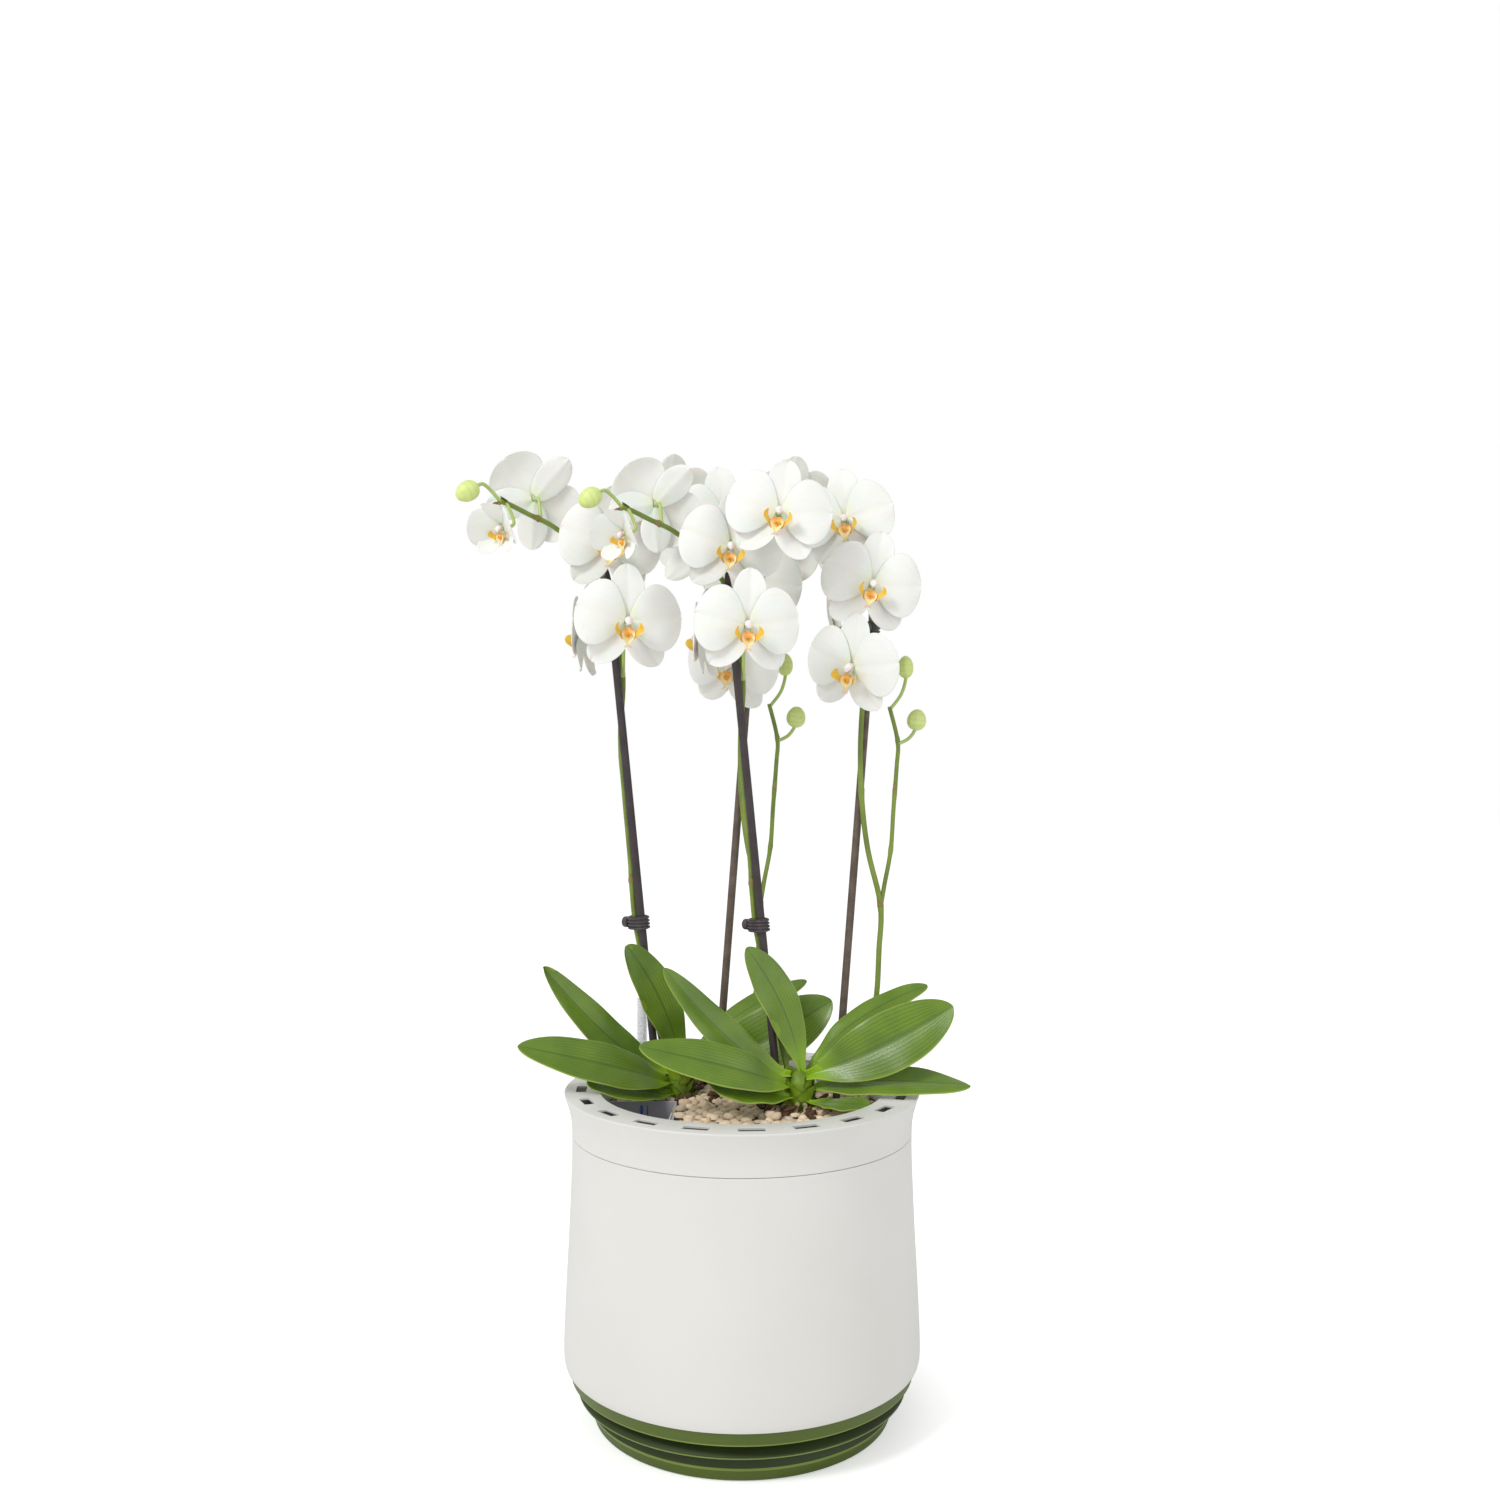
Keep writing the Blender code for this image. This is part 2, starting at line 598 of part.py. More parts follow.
def build_leaf(name, plant, material, base, middle, tip, width, roll):
    """A blade folded lightly along its midrib, rolled about it towards the front."""
    base, middle, tip = Vector(base), Vector(middle), Vector(tip)
    fold = 0.16
    bm = bmesh.new()
    bmesh.ops.create_grid(bm, x_segments=7, y_segments=2, size=1.0)
    for vert in bm.verts:
        t, side = (vert.co.x + 1) / 2, vert.co.y
        point, along_leaf = leaf_spine(base, middle, tip, t)
        forward = Vector((0.0, -1.0, 0.0))
        level = along_leaf.cross(Vector((0.0, 0.0, 1.0)))
        if level.dot(forward) < 0:
            level = -level
        level.normalize()
        upper = level.cross(along_leaf)
        if upper.z < 0 or (abs(upper.z) < 0.001 and upper.x < 0):
            upper = -upper
        angle = math.radians(roll)
        face = upper * math.cos(angle) + level * math.sin(angle)
        across = face.cross(along_leaf)
        half = leaf_half_width(t) * width / 2
        vert.co = point + across * (side * half) + face * (abs(side) * half * fold)
    bmesh.ops.recalc_face_normals(bm, faces=bm.faces)
    leaf = place(name, mesh_of(name, bm), material, plant)
    solid = leaf.modifiers.new("Blade", "SOLIDIFY")
    solid.thickness = LEAF_THICKNESS
    solid.offset = 0.0
    return leaf


def facing(azimuth, pitch, roll):
    """Turn that takes a flower's own +Z to the way it faces and its own +Y up."""
    aim = Matrix.Rotation(math.radians(azimuth), 4, "Z")
    tilt = Matrix.Rotation(math.radians(90 - pitch), 4, "X")
    return aim @ tilt @ Matrix.Rotation(math.radians(-roll), 4, "Z")


def flower_reach(angle):
    """Reach of a flower's outline in a direction, against its radius: the furthest lobe there."""
    best = 0.50
    for middle, half_width, reach in LOBES:
        off = (math.degrees(angle) - middle + 180) % 360 - 180
        if abs(off) < half_width:
            best = max(best, 0.50 + (reach - 0.50) * math.cos(math.pi / 2 * off / half_width) ** 0.6)
    return best


def flower_mesh():
    """One flower of radius 1, spun about +Z and drawn out to its five lobes, with the lip in front."""
    bm = bmesh.new()
    inner = 0.20
    profile = [bm.verts.new((radius, 0.0, 0.0)) for radius in (0.0, inner, 1.0)]
    edges = [bm.edges.new(pair) for pair in zip(profile, profile[1:])]
    steps = 20
    bmesh.ops.spin(
        bm, geom=profile + edges, cent=(0, 0, 0), axis=(0, 0, 1), angle=math.tau, steps=steps,
        use_merge=True,
    )
    bmesh.ops.remove_doubles(bm, verts=bm.verts, dist=0.001)
    for vert in bm.verts:
        radius = vert.co.xy.length
        angle = math.atan2(vert.co.y, vert.co.x)
        if radius > inner + 0.01:
            vert.co.xy *= flower_reach(angle)
            vert.co.z = 0.10 * radius**2 - (0.10 if math.sin(angle) < -0.3 else 0.0)
        elif radius > 0.01:
            vert.co.z = 0.17
            if math.sin(angle) < -0.5:
                vert.co.y -= 0.12
        else:
            vert.co.z = 0.26
    bmesh.ops.recalc_face_normals(bm, faces=bm.faces)
    return mesh_of("flower", bm)


def build_flower(name, plant, mesh, middle, azimuth, pitch, roll, size):
    """One flower at its place, facing its own way, with a wall of petal thickness."""
    radius = FLOWER_RADIUS * size
    own = mesh.copy()
    own.transform(Matrix.Diagonal((radius, radius, radius, 1.0)))
    flower = place(name, own, None, plant)
    flower.matrix_basis = Matrix.Translation(middle) @ facing(azimuth, pitch, roll)
    solid = flower.modifiers.new("Petal", "SOLIDIFY")
    solid.thickness = PETAL_THICKNESS
    solid.offset = 0.0
    return flower


def pedicel(name, plant, route, flower):
    """The stalk from the spike to the back of a flower, clear of it by the gap."""
    middle, azimuth, pitch, roll, size, at = flower
    start = along(route, at)
    face = facing(azimuth, pitch, roll).to_3x3() @ Vector((0.0, 0.0, 1.0))
    dome = 0.26 * FLOWER_RADIUS * size
    end = Vector(middle) + face * (dome - PETAL_THICKNESS / 2 - 3 * GAP - 0.0045)
    approach = end - face * 0.012
    points = (start, start.lerp(approach, 0.55) + Vector((0, 0, 0.002)), approach, end)
    radii = (PEDICEL_RADIUS * 1.1, PEDICEL_RADIUS, PEDICEL_RADIUS, PEDICEL_RADIUS * 0.9)
    return tube(name, points, radii, parent=plant)


def bud_body(name, plant, middle, half_width, half_length):
    """A bud: a ball drawn out upwards."""
    bm = bmesh.new()
    shape = Matrix.Translation(middle) @ Matrix.Diagonal((half_width, half_width, half_length, 1.0))
    bmesh.ops.create_uvsphere(bm, u_segments=8, v_segments=6, radius=1.0, matrix=shape)
    return place(name, mesh_of(name, bm), None, plant)


def build_spike(name, plant, material, route, branches, buds, flowers):
    """A flower spike with its side branches, its flowers' stalks and its buds, grown in one."""
    thinning = (TWIG_RADIUS - SPIKE_RADIUS) / (len(route) - 1)
    taper = [SPIKE_RADIUS + thinning * index for index in range(len(route))]
    spike = tube(name, route, taper, material, plant)
    for index, branch in enumerate(branches):
        radii = [TWIG_RADIUS] * len(branch)
        boolean(spike, tube(f"{name}_branch_{index}", branch, radii, parent=plant), "UNION")
    for index, (stalk, middle, half_width, half_length) in enumerate(buds):
        points = (*stalk, middle)
        radii = [PEDICEL_RADIUS] * len(points)
        boolean(spike, tube(f"{name}_bud_stalk_{index}", points, radii, parent=plant), "UNION")
        boolean(spike, bud_body(f"{name}_bud_{index}", plant, middle, half_width, half_length), "UNION")
    for index, flower in enumerate(flowers):
        boolean(spike, pedicel(f"{name}_stalk_{index}", plant, route, flower), "UNION")
    return spike


def oval(length, radius, steps=8):
    """Plan of a straight-sided oval about the origin, its round ends at plus and minus X."""
    right = [(length / 2 + radius * math.cos(a), radius * math.sin(a))
             for a in (math.pi * (step / steps - 0.5) for step in range(steps + 1))]
    return right + [(-x, -y) for x, y in right]


def build_clip(name, plant, material, spike_route, stake, height):
    """A plastic clip that rings a spike and its stake, with a grip on the spike's side."""
    foot, tip = STAKES[stake]
    at_stake, at_spike = at_height((foot, tip), height), at_height(spike_route, height)
    middle, apart = (at_stake + at_spike) / 2, at_spike - at_stake
    bore = STAKE_RADIUS + 3 * GAP
    outlines = (oval(apart.xy.length, bore + CLIP_WALL), oval(apart.xy.length, bore))
    clip = extruded(name, outlines, -CLIP_HEIGHT / 2, CLIP_HEIGHT / 2, material)
    lean = (Vector(tip) - Vector(foot)).normalized()
    turn = Vector((0, 0, 1)).rotation_difference(lean).to_matrix().to_4x4()
    clip.parent = plant
    clip.matrix_basis = (
        Matrix.Translation(middle) @ turn @ Matrix.Rotation(math.atan2(apart.y, apart.x), 4, "Z")
    )
    bm = bmesh.new()
    side = apart.xy.length / 2 + bore + CLIP_WALL + 0.0015
    bmesh.ops.create_cone(
        bm, cap_ends=True, segments=8, radius1=0.0028, radius2=0.0028, depth=0.005,
        matrix=Matrix.Translation((side, 0, 0)) @ Matrix.Rotation(math.pi / 2, 4, "Y"),
    )
    grip = place(name + "_grip", mesh_of(name + "_grip", bm), None, plant)
    grip.matrix_basis = clip.matrix_basis
    boolean(clip, grip, "UNION")
    return clip


def build_plant(name, plant, finishes, petal_mesh):
    """One orchid: crown, leaves, two spikes with their stakes and clips, and the flowers."""
    turned(f"{name}_crown", crown_profile(), finishes["crown"], plant, sides=TUBE_SIDES)
    for leaf in LEAVES_OF[name]:
        build_leaf(f"{name}_{leaf}", plant, finishes["leaf"], *LEAVES[leaf])
    for stake in STAKES:
        stake_body(f"{name}_{stake}", stake, plant, finishes["stake"])
    for clip, (spike, stake, height) in CLIPS.items():
        route = SPIKE_LEFT if spike == "left" else SPIKE_RIGHT
        build_clip(f"{name}_{clip}", plant, finishes["clip"], route, stake, height)
    kept = FLOWERS_OF[name]
    left = {key: value for key, value in FLOWERS_LEFT.items() if key in kept}
    right = {key: value for key, value in FLOWERS_RIGHT.items() if key in kept}
    stem = finishes["stem"]
    build_spike(f"{name}_spike_left", plant, stem, SPIKE_LEFT, (), BUDS_LEFT, left.values())
    branches = (SIDE_BRANCH,)
    build_spike(f"{name}_spike_right", plant, stem, SPIKE_RIGHT, branches, BUDS_RIGHT, right.values())
    for key, (middle, azimuth, pitch, roll, size, _) in {**left, **right}.items():
        build_flower(f"{name}_{key}", plant, petal_mesh, middle, azimuth, pitch, roll, size)


def plant_frames():
    """An empty for each plant, on the substrate, which its pieces are laid out in."""
    frames = {}
    for name, (x, y, sink), turn, growth in PLANTS:
        frame = bpy.data.objects.new(f"{name}_plant", None)
        collection(COLLECTION).objects.link(frame)
        frame.location = (x, y, BED_TOP + sink)
        frame.rotation_euler = (0.0, 0.0, math.radians(turn))
        frame.scale = (growth, growth, growth)
        frames[name] = frame
    return frames


def main():
    """Builds the pot, then the plants in it."""
    clear_scene()
    white = finish("white_plastic", (0.72, 0.72, 0.67), 0.42)
    green = finish("green_plastic", (0.062, 0.090, 0.018), 0.45)
    grey = finish("grey_plastic", (0.45, 0.44, 0.48), 0.4)
    build_base(green)
    build_shell(white)
    build_collar(white)
    build_reservoir(finish("reservoir_plastic", (0.05, 0.05, 0.05), 0.5))
    build_planter(grey)
    build_shaft(grey)
    build_gauge(finish("clear_plastic", (0.85, 0.88, 0.9), 0.1, alpha=0.35))
    plants = plant_frames()
    build_substrate(finish("granules", (0.62, 0.50, 0.38), 0.9), plants)
    finishes = {
        "crown": finish("crown_green", (0.16, 0.28, 0.03), 0.5),
        "leaf": finish("leaf_green", (0.08, 0.20, 0.03), 0.35),
        "stem": finish("stem_green", (0.17, 0.27, 0.04), 0.45),
        "stake": finish("stake_brown", (0.05, 0.035, 0.035), 0.5),
        "clip": finish("clip_black", (0.03, 0.025, 0.03), 0.5),
    }
    petals = flower_mesh()
    petals.materials.append(finish("petal_white", (0.84, 0.85, 0.82), 0.5))
    for name, plant in plants.items():
        build_plant(name, plant, finishes, petals)


main()
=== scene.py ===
"""Two white moth orchids in a louvred self-watering pot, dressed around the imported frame.

Metres, +Z up. The pot's front faces -Y. Both plants share one set of tables, laid out in a plant's
own frame on the surface of the substrate, and each plant's frame is read from its packed crown.
"""

import logging
import math
import random
from dataclasses import dataclass
from enum import Enum
from typing import Callable, Iterable, Sequence

import bmesh
import bpy
from mathutils import Matrix, Vector, noise


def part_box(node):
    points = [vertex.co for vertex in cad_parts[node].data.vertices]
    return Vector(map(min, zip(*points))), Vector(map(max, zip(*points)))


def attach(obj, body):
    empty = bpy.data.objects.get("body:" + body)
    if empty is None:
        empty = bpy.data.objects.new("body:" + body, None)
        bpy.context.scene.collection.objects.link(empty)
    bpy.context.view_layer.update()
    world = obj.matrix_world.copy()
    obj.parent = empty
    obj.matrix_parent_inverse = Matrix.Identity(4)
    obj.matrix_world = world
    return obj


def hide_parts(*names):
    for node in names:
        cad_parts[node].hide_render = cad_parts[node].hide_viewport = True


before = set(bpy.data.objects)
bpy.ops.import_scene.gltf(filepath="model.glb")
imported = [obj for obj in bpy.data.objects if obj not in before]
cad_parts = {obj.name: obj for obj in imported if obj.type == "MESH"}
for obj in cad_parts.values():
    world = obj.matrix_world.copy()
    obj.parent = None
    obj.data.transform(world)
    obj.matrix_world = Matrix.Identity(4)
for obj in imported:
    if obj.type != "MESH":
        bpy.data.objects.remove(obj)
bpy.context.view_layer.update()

Colour = tuple[float, float, float]
Point = tuple[float, float, float]
Outline = Sequence[tuple[float, float]]
Shape = Callable[[float, float], Vector]
Mesh = bmesh.types.BMesh
Socket = bpy.types.NodeSocket
Sockets = bpy.types.bpy_prop_collection
Value = float | Colour | Socket

LOG = logging.getLogger("potted_orchid")
BODY = "root"


# --- Shared tools --------------------------------------------------------------------------------


def tone(red: int, green: int, blue: int) -> Colour:
    """Turns a colour given in display values from 0 to 255 into linear light.

    Args:
        red: Red value.
        green: Green value.
        blue: Blue value.

    Returns:
        The linear colour.
    """
    values = (value / 255 for value in (red, green, blue))
    return tuple(v / 12.92 if v <= 0.04045 else ((v + 0.055) / 1.055) ** 2.4 for v in values)


def spline_point(points: Sequence[Vector], at: float) -> Vector:
    """Finds a point on the smooth curve through a route's points.

    Args:
        points: The route.
        at: How many points along it, with a fraction between two of them.

    Returns:
        The point there.
    """
    index = max(0, min(int(at), len(points) - 2))
    t = at - index
    before, here = points[max(index - 1, 0)], points[index]
    there, after = points[index + 1], points[min(index + 2, len(points) - 1)]
    return 0.5 * (
        2 * here
        + (there - before) * t
        + (2 * before - 5 * here + 4 * there - after) * t**2
        + (3 * here - before - 3 * there + after) * t**3
    )


def smooth_route(points: Iterable[Point], per_span: int = 4) -> list[Vector]:
    """Refines a route into a smooth one through the same points.

    Args:
        points: The route's points.
        per_span: How many steps each span is cut into.

    Returns:
        The finer route.
    """
    knots = [Vector(point) for point in points]
    count = (len(knots) - 1) * per_span
    return [spline_point(knots, step / per_span) for step in range(count)] + [knots[-1]]


def eased(profile: Outline, reach: float, steps: int = 3) -> Outline:
    """Rounds every corner of a closed (radius, height) outline that doesn't lie on the axis.

    Args:
        profile: The outline's corners.
        reach: How far along each side the rounding starts.
        steps: How many steps each corner is cut into.

    Returns:
        The rounded outline.
    """
    done = []
    for index, corner in enumerate(profile):
        here = Vector(corner)
        before = Vector(profile[index - 1]) - here
        after = Vector(profile[(index + 1) % len(profile)]) - here
        if corner[0] < 1e-6 or min(before.length, after.length) < 1e-6:
            done.append(corner)
            continue
        start = here + before * min(reach / before.length, 0.45)
        end = here + after * min(reach / after.length, 0.45)
        for step in range(steps + 1):
            t = step / steps
            done.append(tuple(start * (1 - t) ** 2 + here * (2 * t * (1 - t)) + end * t**2))
    return done


def placed(spot: Sequence[float], size: Sequence[float]) -> Matrix:
    """Matrix that sizes a unit shape along each axis and moves it to its spot."""
    return Matrix.Translation(spot) @ Matrix.Diagonal((*size, 1.0))


def polar(radius: float, angle: float, height: float = 0.0) -> Vector:
    """Point at a radius, an angle about the Z axis and a height."""
    return Vector((radius * math.cos(angle), radius * math.sin(angle), height))


def linked(name: str, data: bpy.types.ID) -> bpy.types.Object:
    """Makes an object and links it to the scene.

    Args:
        name: The object's name.
        data: Its mesh, light or camera.

    Returns:
        The object.
    """
    obj = bpy.data.objects.new(name, data)
    bpy.context.scene.collection.objects.link(obj)
    return obj


def kept_mesh(name: str, bm: Mesh) -> bpy.types.Mesh:
    """Turns a working mesh into mesh data and frees it.

    Args:
        name: The data's name.
        bm: The working mesh.

    Returns:
        The data.
    """
    mesh = bpy.data.meshes.new(name)
    bm.to_mesh(mesh)
    bm.free()
    return mesh


def distinct(items: Iterable) -> list:
    """Lists items once each, in the order that they first come, so that each run gives the same."""
    return list(dict.fromkeys(items))


def fresh_faces(bm: Mesh, known: set) -> list[bmesh.types.BMFace]:
    """Lists the faces that were made since a set of them was taken.

    Args:
        bm: Mesh that holds them.
        known: The faces there before.

    Returns:
        The new faces.
    """
    return [face for face in bm.faces if face not in known]


def paint(faces: Iterable[bmesh.types.BMFace], material: int) -> None:
    """Gives faces a material index.

    Args:
        faces: The faces.
        material: The index.
    """
    for face in faces:
        face.material_index = material


def soften(obj: bpy.types.Object, width: float, limit: float = 30.0) -> None:
    """Rounds the sharp edges of an object.

    Args:
        obj: The object.
        width: Width of the rounding.
        limit: Angle in degrees above which an edge is rounded.
    """
    soft = obj.modifiers.new("Soft edges", "BEVEL")
    soft.width = width
    soft.segments = 2
    soft.limit_method = "ANGLE"
    soft.angle_limit = math.radians(limit)


def raise_wall(bm: Mesh, plan: Sequence, known: set, wall: float, low: float, high: float) -> None:
    """Raises an even wall on the outline of a flat plan.

    Args:
        bm: Mesh that holds the plan.
        plan: The plan's faces.
        known: The faces there before the plan.
        wall: The wall's thickness.
        low: Height of the wall's foot.
        high: Height of its top.
    """
    bmesh.ops.inset_region(bm, faces=plan, thickness=wall, use_boundary=True, use_even_offset=True)
    bmesh.ops.delete(bm, geom=plan, context="FACES_ONLY")
    bmesh.ops.solidify(bm, geom=fresh_faces(bm, known), thickness=high - low)
    made = fresh_faces(bm, known)
    verts = distinct(vert for face in made for vert in face.verts)
    bmesh.ops.translate(bm, verts=verts, vec=(0, 0, low - min(vert.co.z for vert in verts)))
    bmesh.ops.recalc_face_normals(bm, faces=made)


def turned(bm: Mesh, profile: Outline, steps: int, closed: bool = True) -> None:
    """Spins a (radius, height) outline about the Z axis.

    Args:
        bm: Mesh that takes the body.
        profile: The outline.
        steps: Steps of the full turn.
        closed: Whether the outline's last point joins its first.
    """
    verts = [bm.verts.new((radius, 0.0, height)) for radius, height in profile]
    pairs = list(zip(verts, verts[1:]))
    if closed:
        pairs.append((verts[-1], verts[0]))
    edges = [bm.edges.new(pair) for pair in pairs]
    bmesh.ops.spin(
        bm, geom=verts + edges, cent=(0, 0, 0), axis=(0, 0, 1), angle=math.tau, steps=steps,
        use_merge=True,
    )
    bmesh.ops.remove_doubles(bm, verts=bm.verts, dist=1e-6)
    bmesh.ops.recalc_face_normals(bm, faces=bm.faces)


def sweep(
    bm: Mesh, points: Sequence[Vector], radii: Sequence[float], sides: int = 10, material: int = 0
) -> None:
    """Draws a round rod along a route by extruding a ring from point to point, and caps its ends.

    Args:
        bm: Mesh that takes the rod.
        points: The route.
        radii: The rod's radius at each point.
        sides: Sides of the rod.
        material: Material index of its faces.
    """
    known = set(bm.faces)
    verts = bmesh.ops.create_circle(bm, cap_ends=False, segments=sides, radius=1.0)["verts"]
    ring = distinct(edge for vert in verts for edge in vert.link_edges)
    last = len(points) - 1
    tangents = [(points[min(i + 1, last)] - points[max(i - 1, 0)]).normalized() for i in range(last + 1)]
    turn = Vector((0, 0, 1)).rotation_difference(tangents[0])
    current = Matrix.Identity(4)
    ends = [ring]
    for index, (point, radius) in enumerate(zip(points, radii)):
        if index:
            turn = tangents[index - 1].rotation_difference(tangents[index]) @ turn
            grown = bmesh.ops.extrude_edge_only(bm, edges=ring)["geom"]
            verts = [item for item in grown if isinstance(item, bmesh.types.BMVert)]
            fresh = set(verts)
            ring = [e for e in grown if isinstance(e, bmesh.types.BMEdge) and set(e.verts) <= fresh]
        target = Matrix.LocRotScale(point, turn, Vector((radius, radius, radius)))
        bmesh.ops.transform(bm, matrix=target @ current.inverted(), verts=verts)
        current = target
    ends.append(ring)
    for loop in ends:
        bmesh.ops.contextual_create(bm, geom=loop)
    made = fresh_faces(bm, known)
    paint(made, material)
    bmesh.ops.recalc_face_normals(bm, faces=made)


def blade(
    bm: Mesh, cells: tuple[int, int], shape: Shape, thickness: float, material: int = 0,
    under: int | None = None,
) -> None:
    """Lays a grid out as a thin closed blade, with its UV map running along and across it.

    Args:
        bm: Mesh that takes the blade.
        cells: Cells along and across.
        shape: Gives a point for a place along, 0 to 1, and across, -1 to 1.
        thickness: The blade's thickness.
        material: Material index of its upper face.
        under: Material index of its lower face, where it has its own.
    """
    bm.loops.layers.uv.verify()
    known = set(bm.faces)
    grid = bmesh.ops.create_grid(bm, x_segments=cells[0], y_segments=cells[1], size=1.0, calc_uvs=True)
    for vert in grid["verts"]:
        vert.co = shape((vert.co.x + 1) / 2, vert.co.y)
    upper = fresh_faces(bm, known)
    paint(upper, material)
    bmesh.ops.solidify(bm, geom=upper, thickness=thickness)
    bmesh.ops.recalc_face_normals(bm, faces=fresh_faces(bm, known))
    if under is not None:
        paint(fresh_faces(bm, known | set(upper)), under)


def blob(bm: Mesh, place: Matrix, rings: int = 8, material: int = 0) -> None:
    """Adds a ball, drawn out by the matrix that places it.

    Args:
        bm: Mesh that takes the ball.
        place: Its place, turn and size.
        rings: Rings from pole to pole.
        material: Material index of its faces.
    """
    known = set(bm.faces)
    bmesh.ops.create_uvsphere(bm, u_segments=rings + 4, v_segments=rings, radius=1.0, matrix=place)
    paint(fresh_faces(bm, known), material)


class Slot(Enum):
    """Material slot names, one of which is passed with each piece."""

    WHITE = "white_plastic"
    GREEN = "green_plastic"
    GREY = "grey_plastic"
    CLEAR = "clear_plastic"
    GRANULES = "granules"
    LEAF = "leaf"
    CROWN = "crown"
    PETAL = "petal"
    STEM = "stem"
    STAKE = "stake"
    CLIP = "clip"


def piece(
    name: str, bm: Mesh, finishes: Sequence["Finish"], slot: Slot, stands_for: Sequence[str] = (),
    rounding: int = 0, crease: float = 40.0,
) -> bpy.types.Object:
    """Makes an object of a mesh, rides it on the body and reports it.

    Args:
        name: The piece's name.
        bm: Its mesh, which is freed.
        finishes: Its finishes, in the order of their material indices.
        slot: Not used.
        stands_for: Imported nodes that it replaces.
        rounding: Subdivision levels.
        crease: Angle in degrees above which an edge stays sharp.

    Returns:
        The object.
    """
    mesh = kept_mesh(name, bm)
    mesh.shade_smooth()
    mesh.set_sharp_from_angle(angle=math.radians(crease))
    for finish in finishes:
        mesh.materials.append(finish.build())
    obj = linked(name, mesh)
    if rounding:
        smooth = obj.modifiers.new("Rounding", "SUBSURF")
        smooth.levels = smooth.render_levels = rounding
    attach(obj, BODY)
    if stands_for:
        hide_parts(*stands_for)
    LOG.info("%s: %d faces", name, len(mesh.polygons))
    return obj


def cut(obj: bpy.types.Object, cutters: Mesh) -> None:
    """Cuts holes in an object and keeps the result as its own mesh.

    Args:
        obj: The object.
        cutters: Closed bodies to cut away, which are freed.
    """
    tool = linked("cutters", kept_mesh("cutters", cutters))
    hole = obj.modifiers.new("Holes", "BOOLEAN")
    hole.object = tool
    hole.solver = "EXACT"
    bpy.context.view_layer.update()
    done = bpy.data.meshes.new_from_object(obj.evaluated_get(bpy.context.evaluated_depsgraph_get()))
    obj.modifiers.remove(hole)
    obj.data = done
    bpy.data.objects.remove(tool, do_unlink=True)
    done.shade_smooth()
    done.set_sharp_from_angle(angle=math.radians(35))


def finish_packed(node: str, finish: "Finish") -> None:
    """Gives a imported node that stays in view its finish.

    Args:
        node: The node.
        finish: Its finish.
    """
    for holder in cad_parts[node].material_slots:
        holder.material = finish.build()


# --- Finishes --------------------------------------------------------------------------------------


class Graph:
    """Adds nodes to one material or node group."""

    def __init__(self, tree: bpy.types.NodeTree) -> None:
        """Keeps the tree that nodes are added to."""
        self.tree = tree

    def add(self, kind: str, inputs: dict, **settings: object) -> bpy.types.Node:
        """Adds a node.

        Args:
            kind: The node's type.
            inputs: Values or sockets for its inputs, by name or index.
            settings: Its properties.

        Returns:
            The node.
        """
        node = self.tree.nodes.new(kind)
        for key, value in settings.items():
            setattr(node, key, value)
        self.feed(node, inputs)
        return node

    def feed(self, node: bpy.types.Node, inputs: dict) -> None:
        """Sets or links a node's inputs.

        Args:
            node: The node.
            inputs: Values or sockets for its inputs, by name or index.
        """
        for key, value in inputs.items():
            if isinstance(value, Socket):
                self.tree.links.new(value, node.inputs[key])
            elif isinstance(value, tuple) and len(value) == 3 and node.inputs[key].type == "RGBA":
                node.inputs[key].default_value = (*value, 1.0)
            else:
                node.inputs[key].default_value = value

    def group(self, tree: bpy.types.NodeTree, inputs: dict) -> Sockets:
        """Adds a node group.

        Args:
            tree: The group.
            inputs: Values or sockets for its inputs.

        Returns:
            Its outputs.
        """
        return self.add("ShaderNodeGroup", inputs, node_tree=tree).outputs

    def place(self) -> Socket:
        """Gives the piece's own coordinates."""
        return self.add("ShaderNodeTexCoord", {}).outputs["Object"]

    def drawn_out(self, vector: Socket, scale: Value) -> Socket:
        """Scales coordinates along each axis."""
        return self.add("ShaderNodeMapping", {"Vector": vector, "Scale": scale}).outputs[0]

    def mix(self, factor: Value, first: Value, second: Value, blend: str = "MIX") -> Socket:
        """Mixes two colours.

        Args:
            factor: Share of the second.
            first: First colour.
            second: Second colour.
            blend: How they are mixed.

        Returns:
            The mixed colour.
        """
        inputs = {0: factor, 6: first, 7: second}
        return self.add("ShaderNodeMix", inputs, data_type="RGBA", blend_type=blend).outputs[2]

    def sum(self, operation: str, first: Value, second: Value = 0.0, clamp: bool = False) -> Socket:
        """Does one sum.

        Args:
            operation: The sum's name.
            first: First value.
            second: Second value.
            clamp: Whether the result is kept between 0 and 1.

        Returns:
            The result.
        """
        inputs = {0: first, 1: second}
        return self.add("ShaderNodeMath", inputs, operation=operation, use_clamp=clamp).outputs[0]

    def step(
        self, value: Value, low: float, high: float, start: float = 0.0, end: float = 1.0
    ) -> Socket:
        """Maps a value smoothly from one range to another.

        Args:
            value: The value.
            low: Value that gives start.
            high: Value that gives end.
            start: Result at low.
            end: Result at high.

        Returns:
            The result.
        """
        inputs = {"Value": value, "From Min": low, "From Max": high, "To Min": start, "To Max": end}
        return self.add("ShaderNodeMapRange", inputs, interpolation_type="SMOOTHSTEP").outputs[0]

    def noise(self, vector: Socket, scale: Value, detail: float = 3.0) -> Socket:
        """Adds a noise.

        Args:
            vector: Its coordinates.
            scale: Its scale.
            detail: Its detail.

        Returns:
            The noise, 0 to 1.
        """
        return self.add("ShaderNodeTexNoise", {"Vector": vector, "Scale": scale, "Detail": detail}).outputs[0]


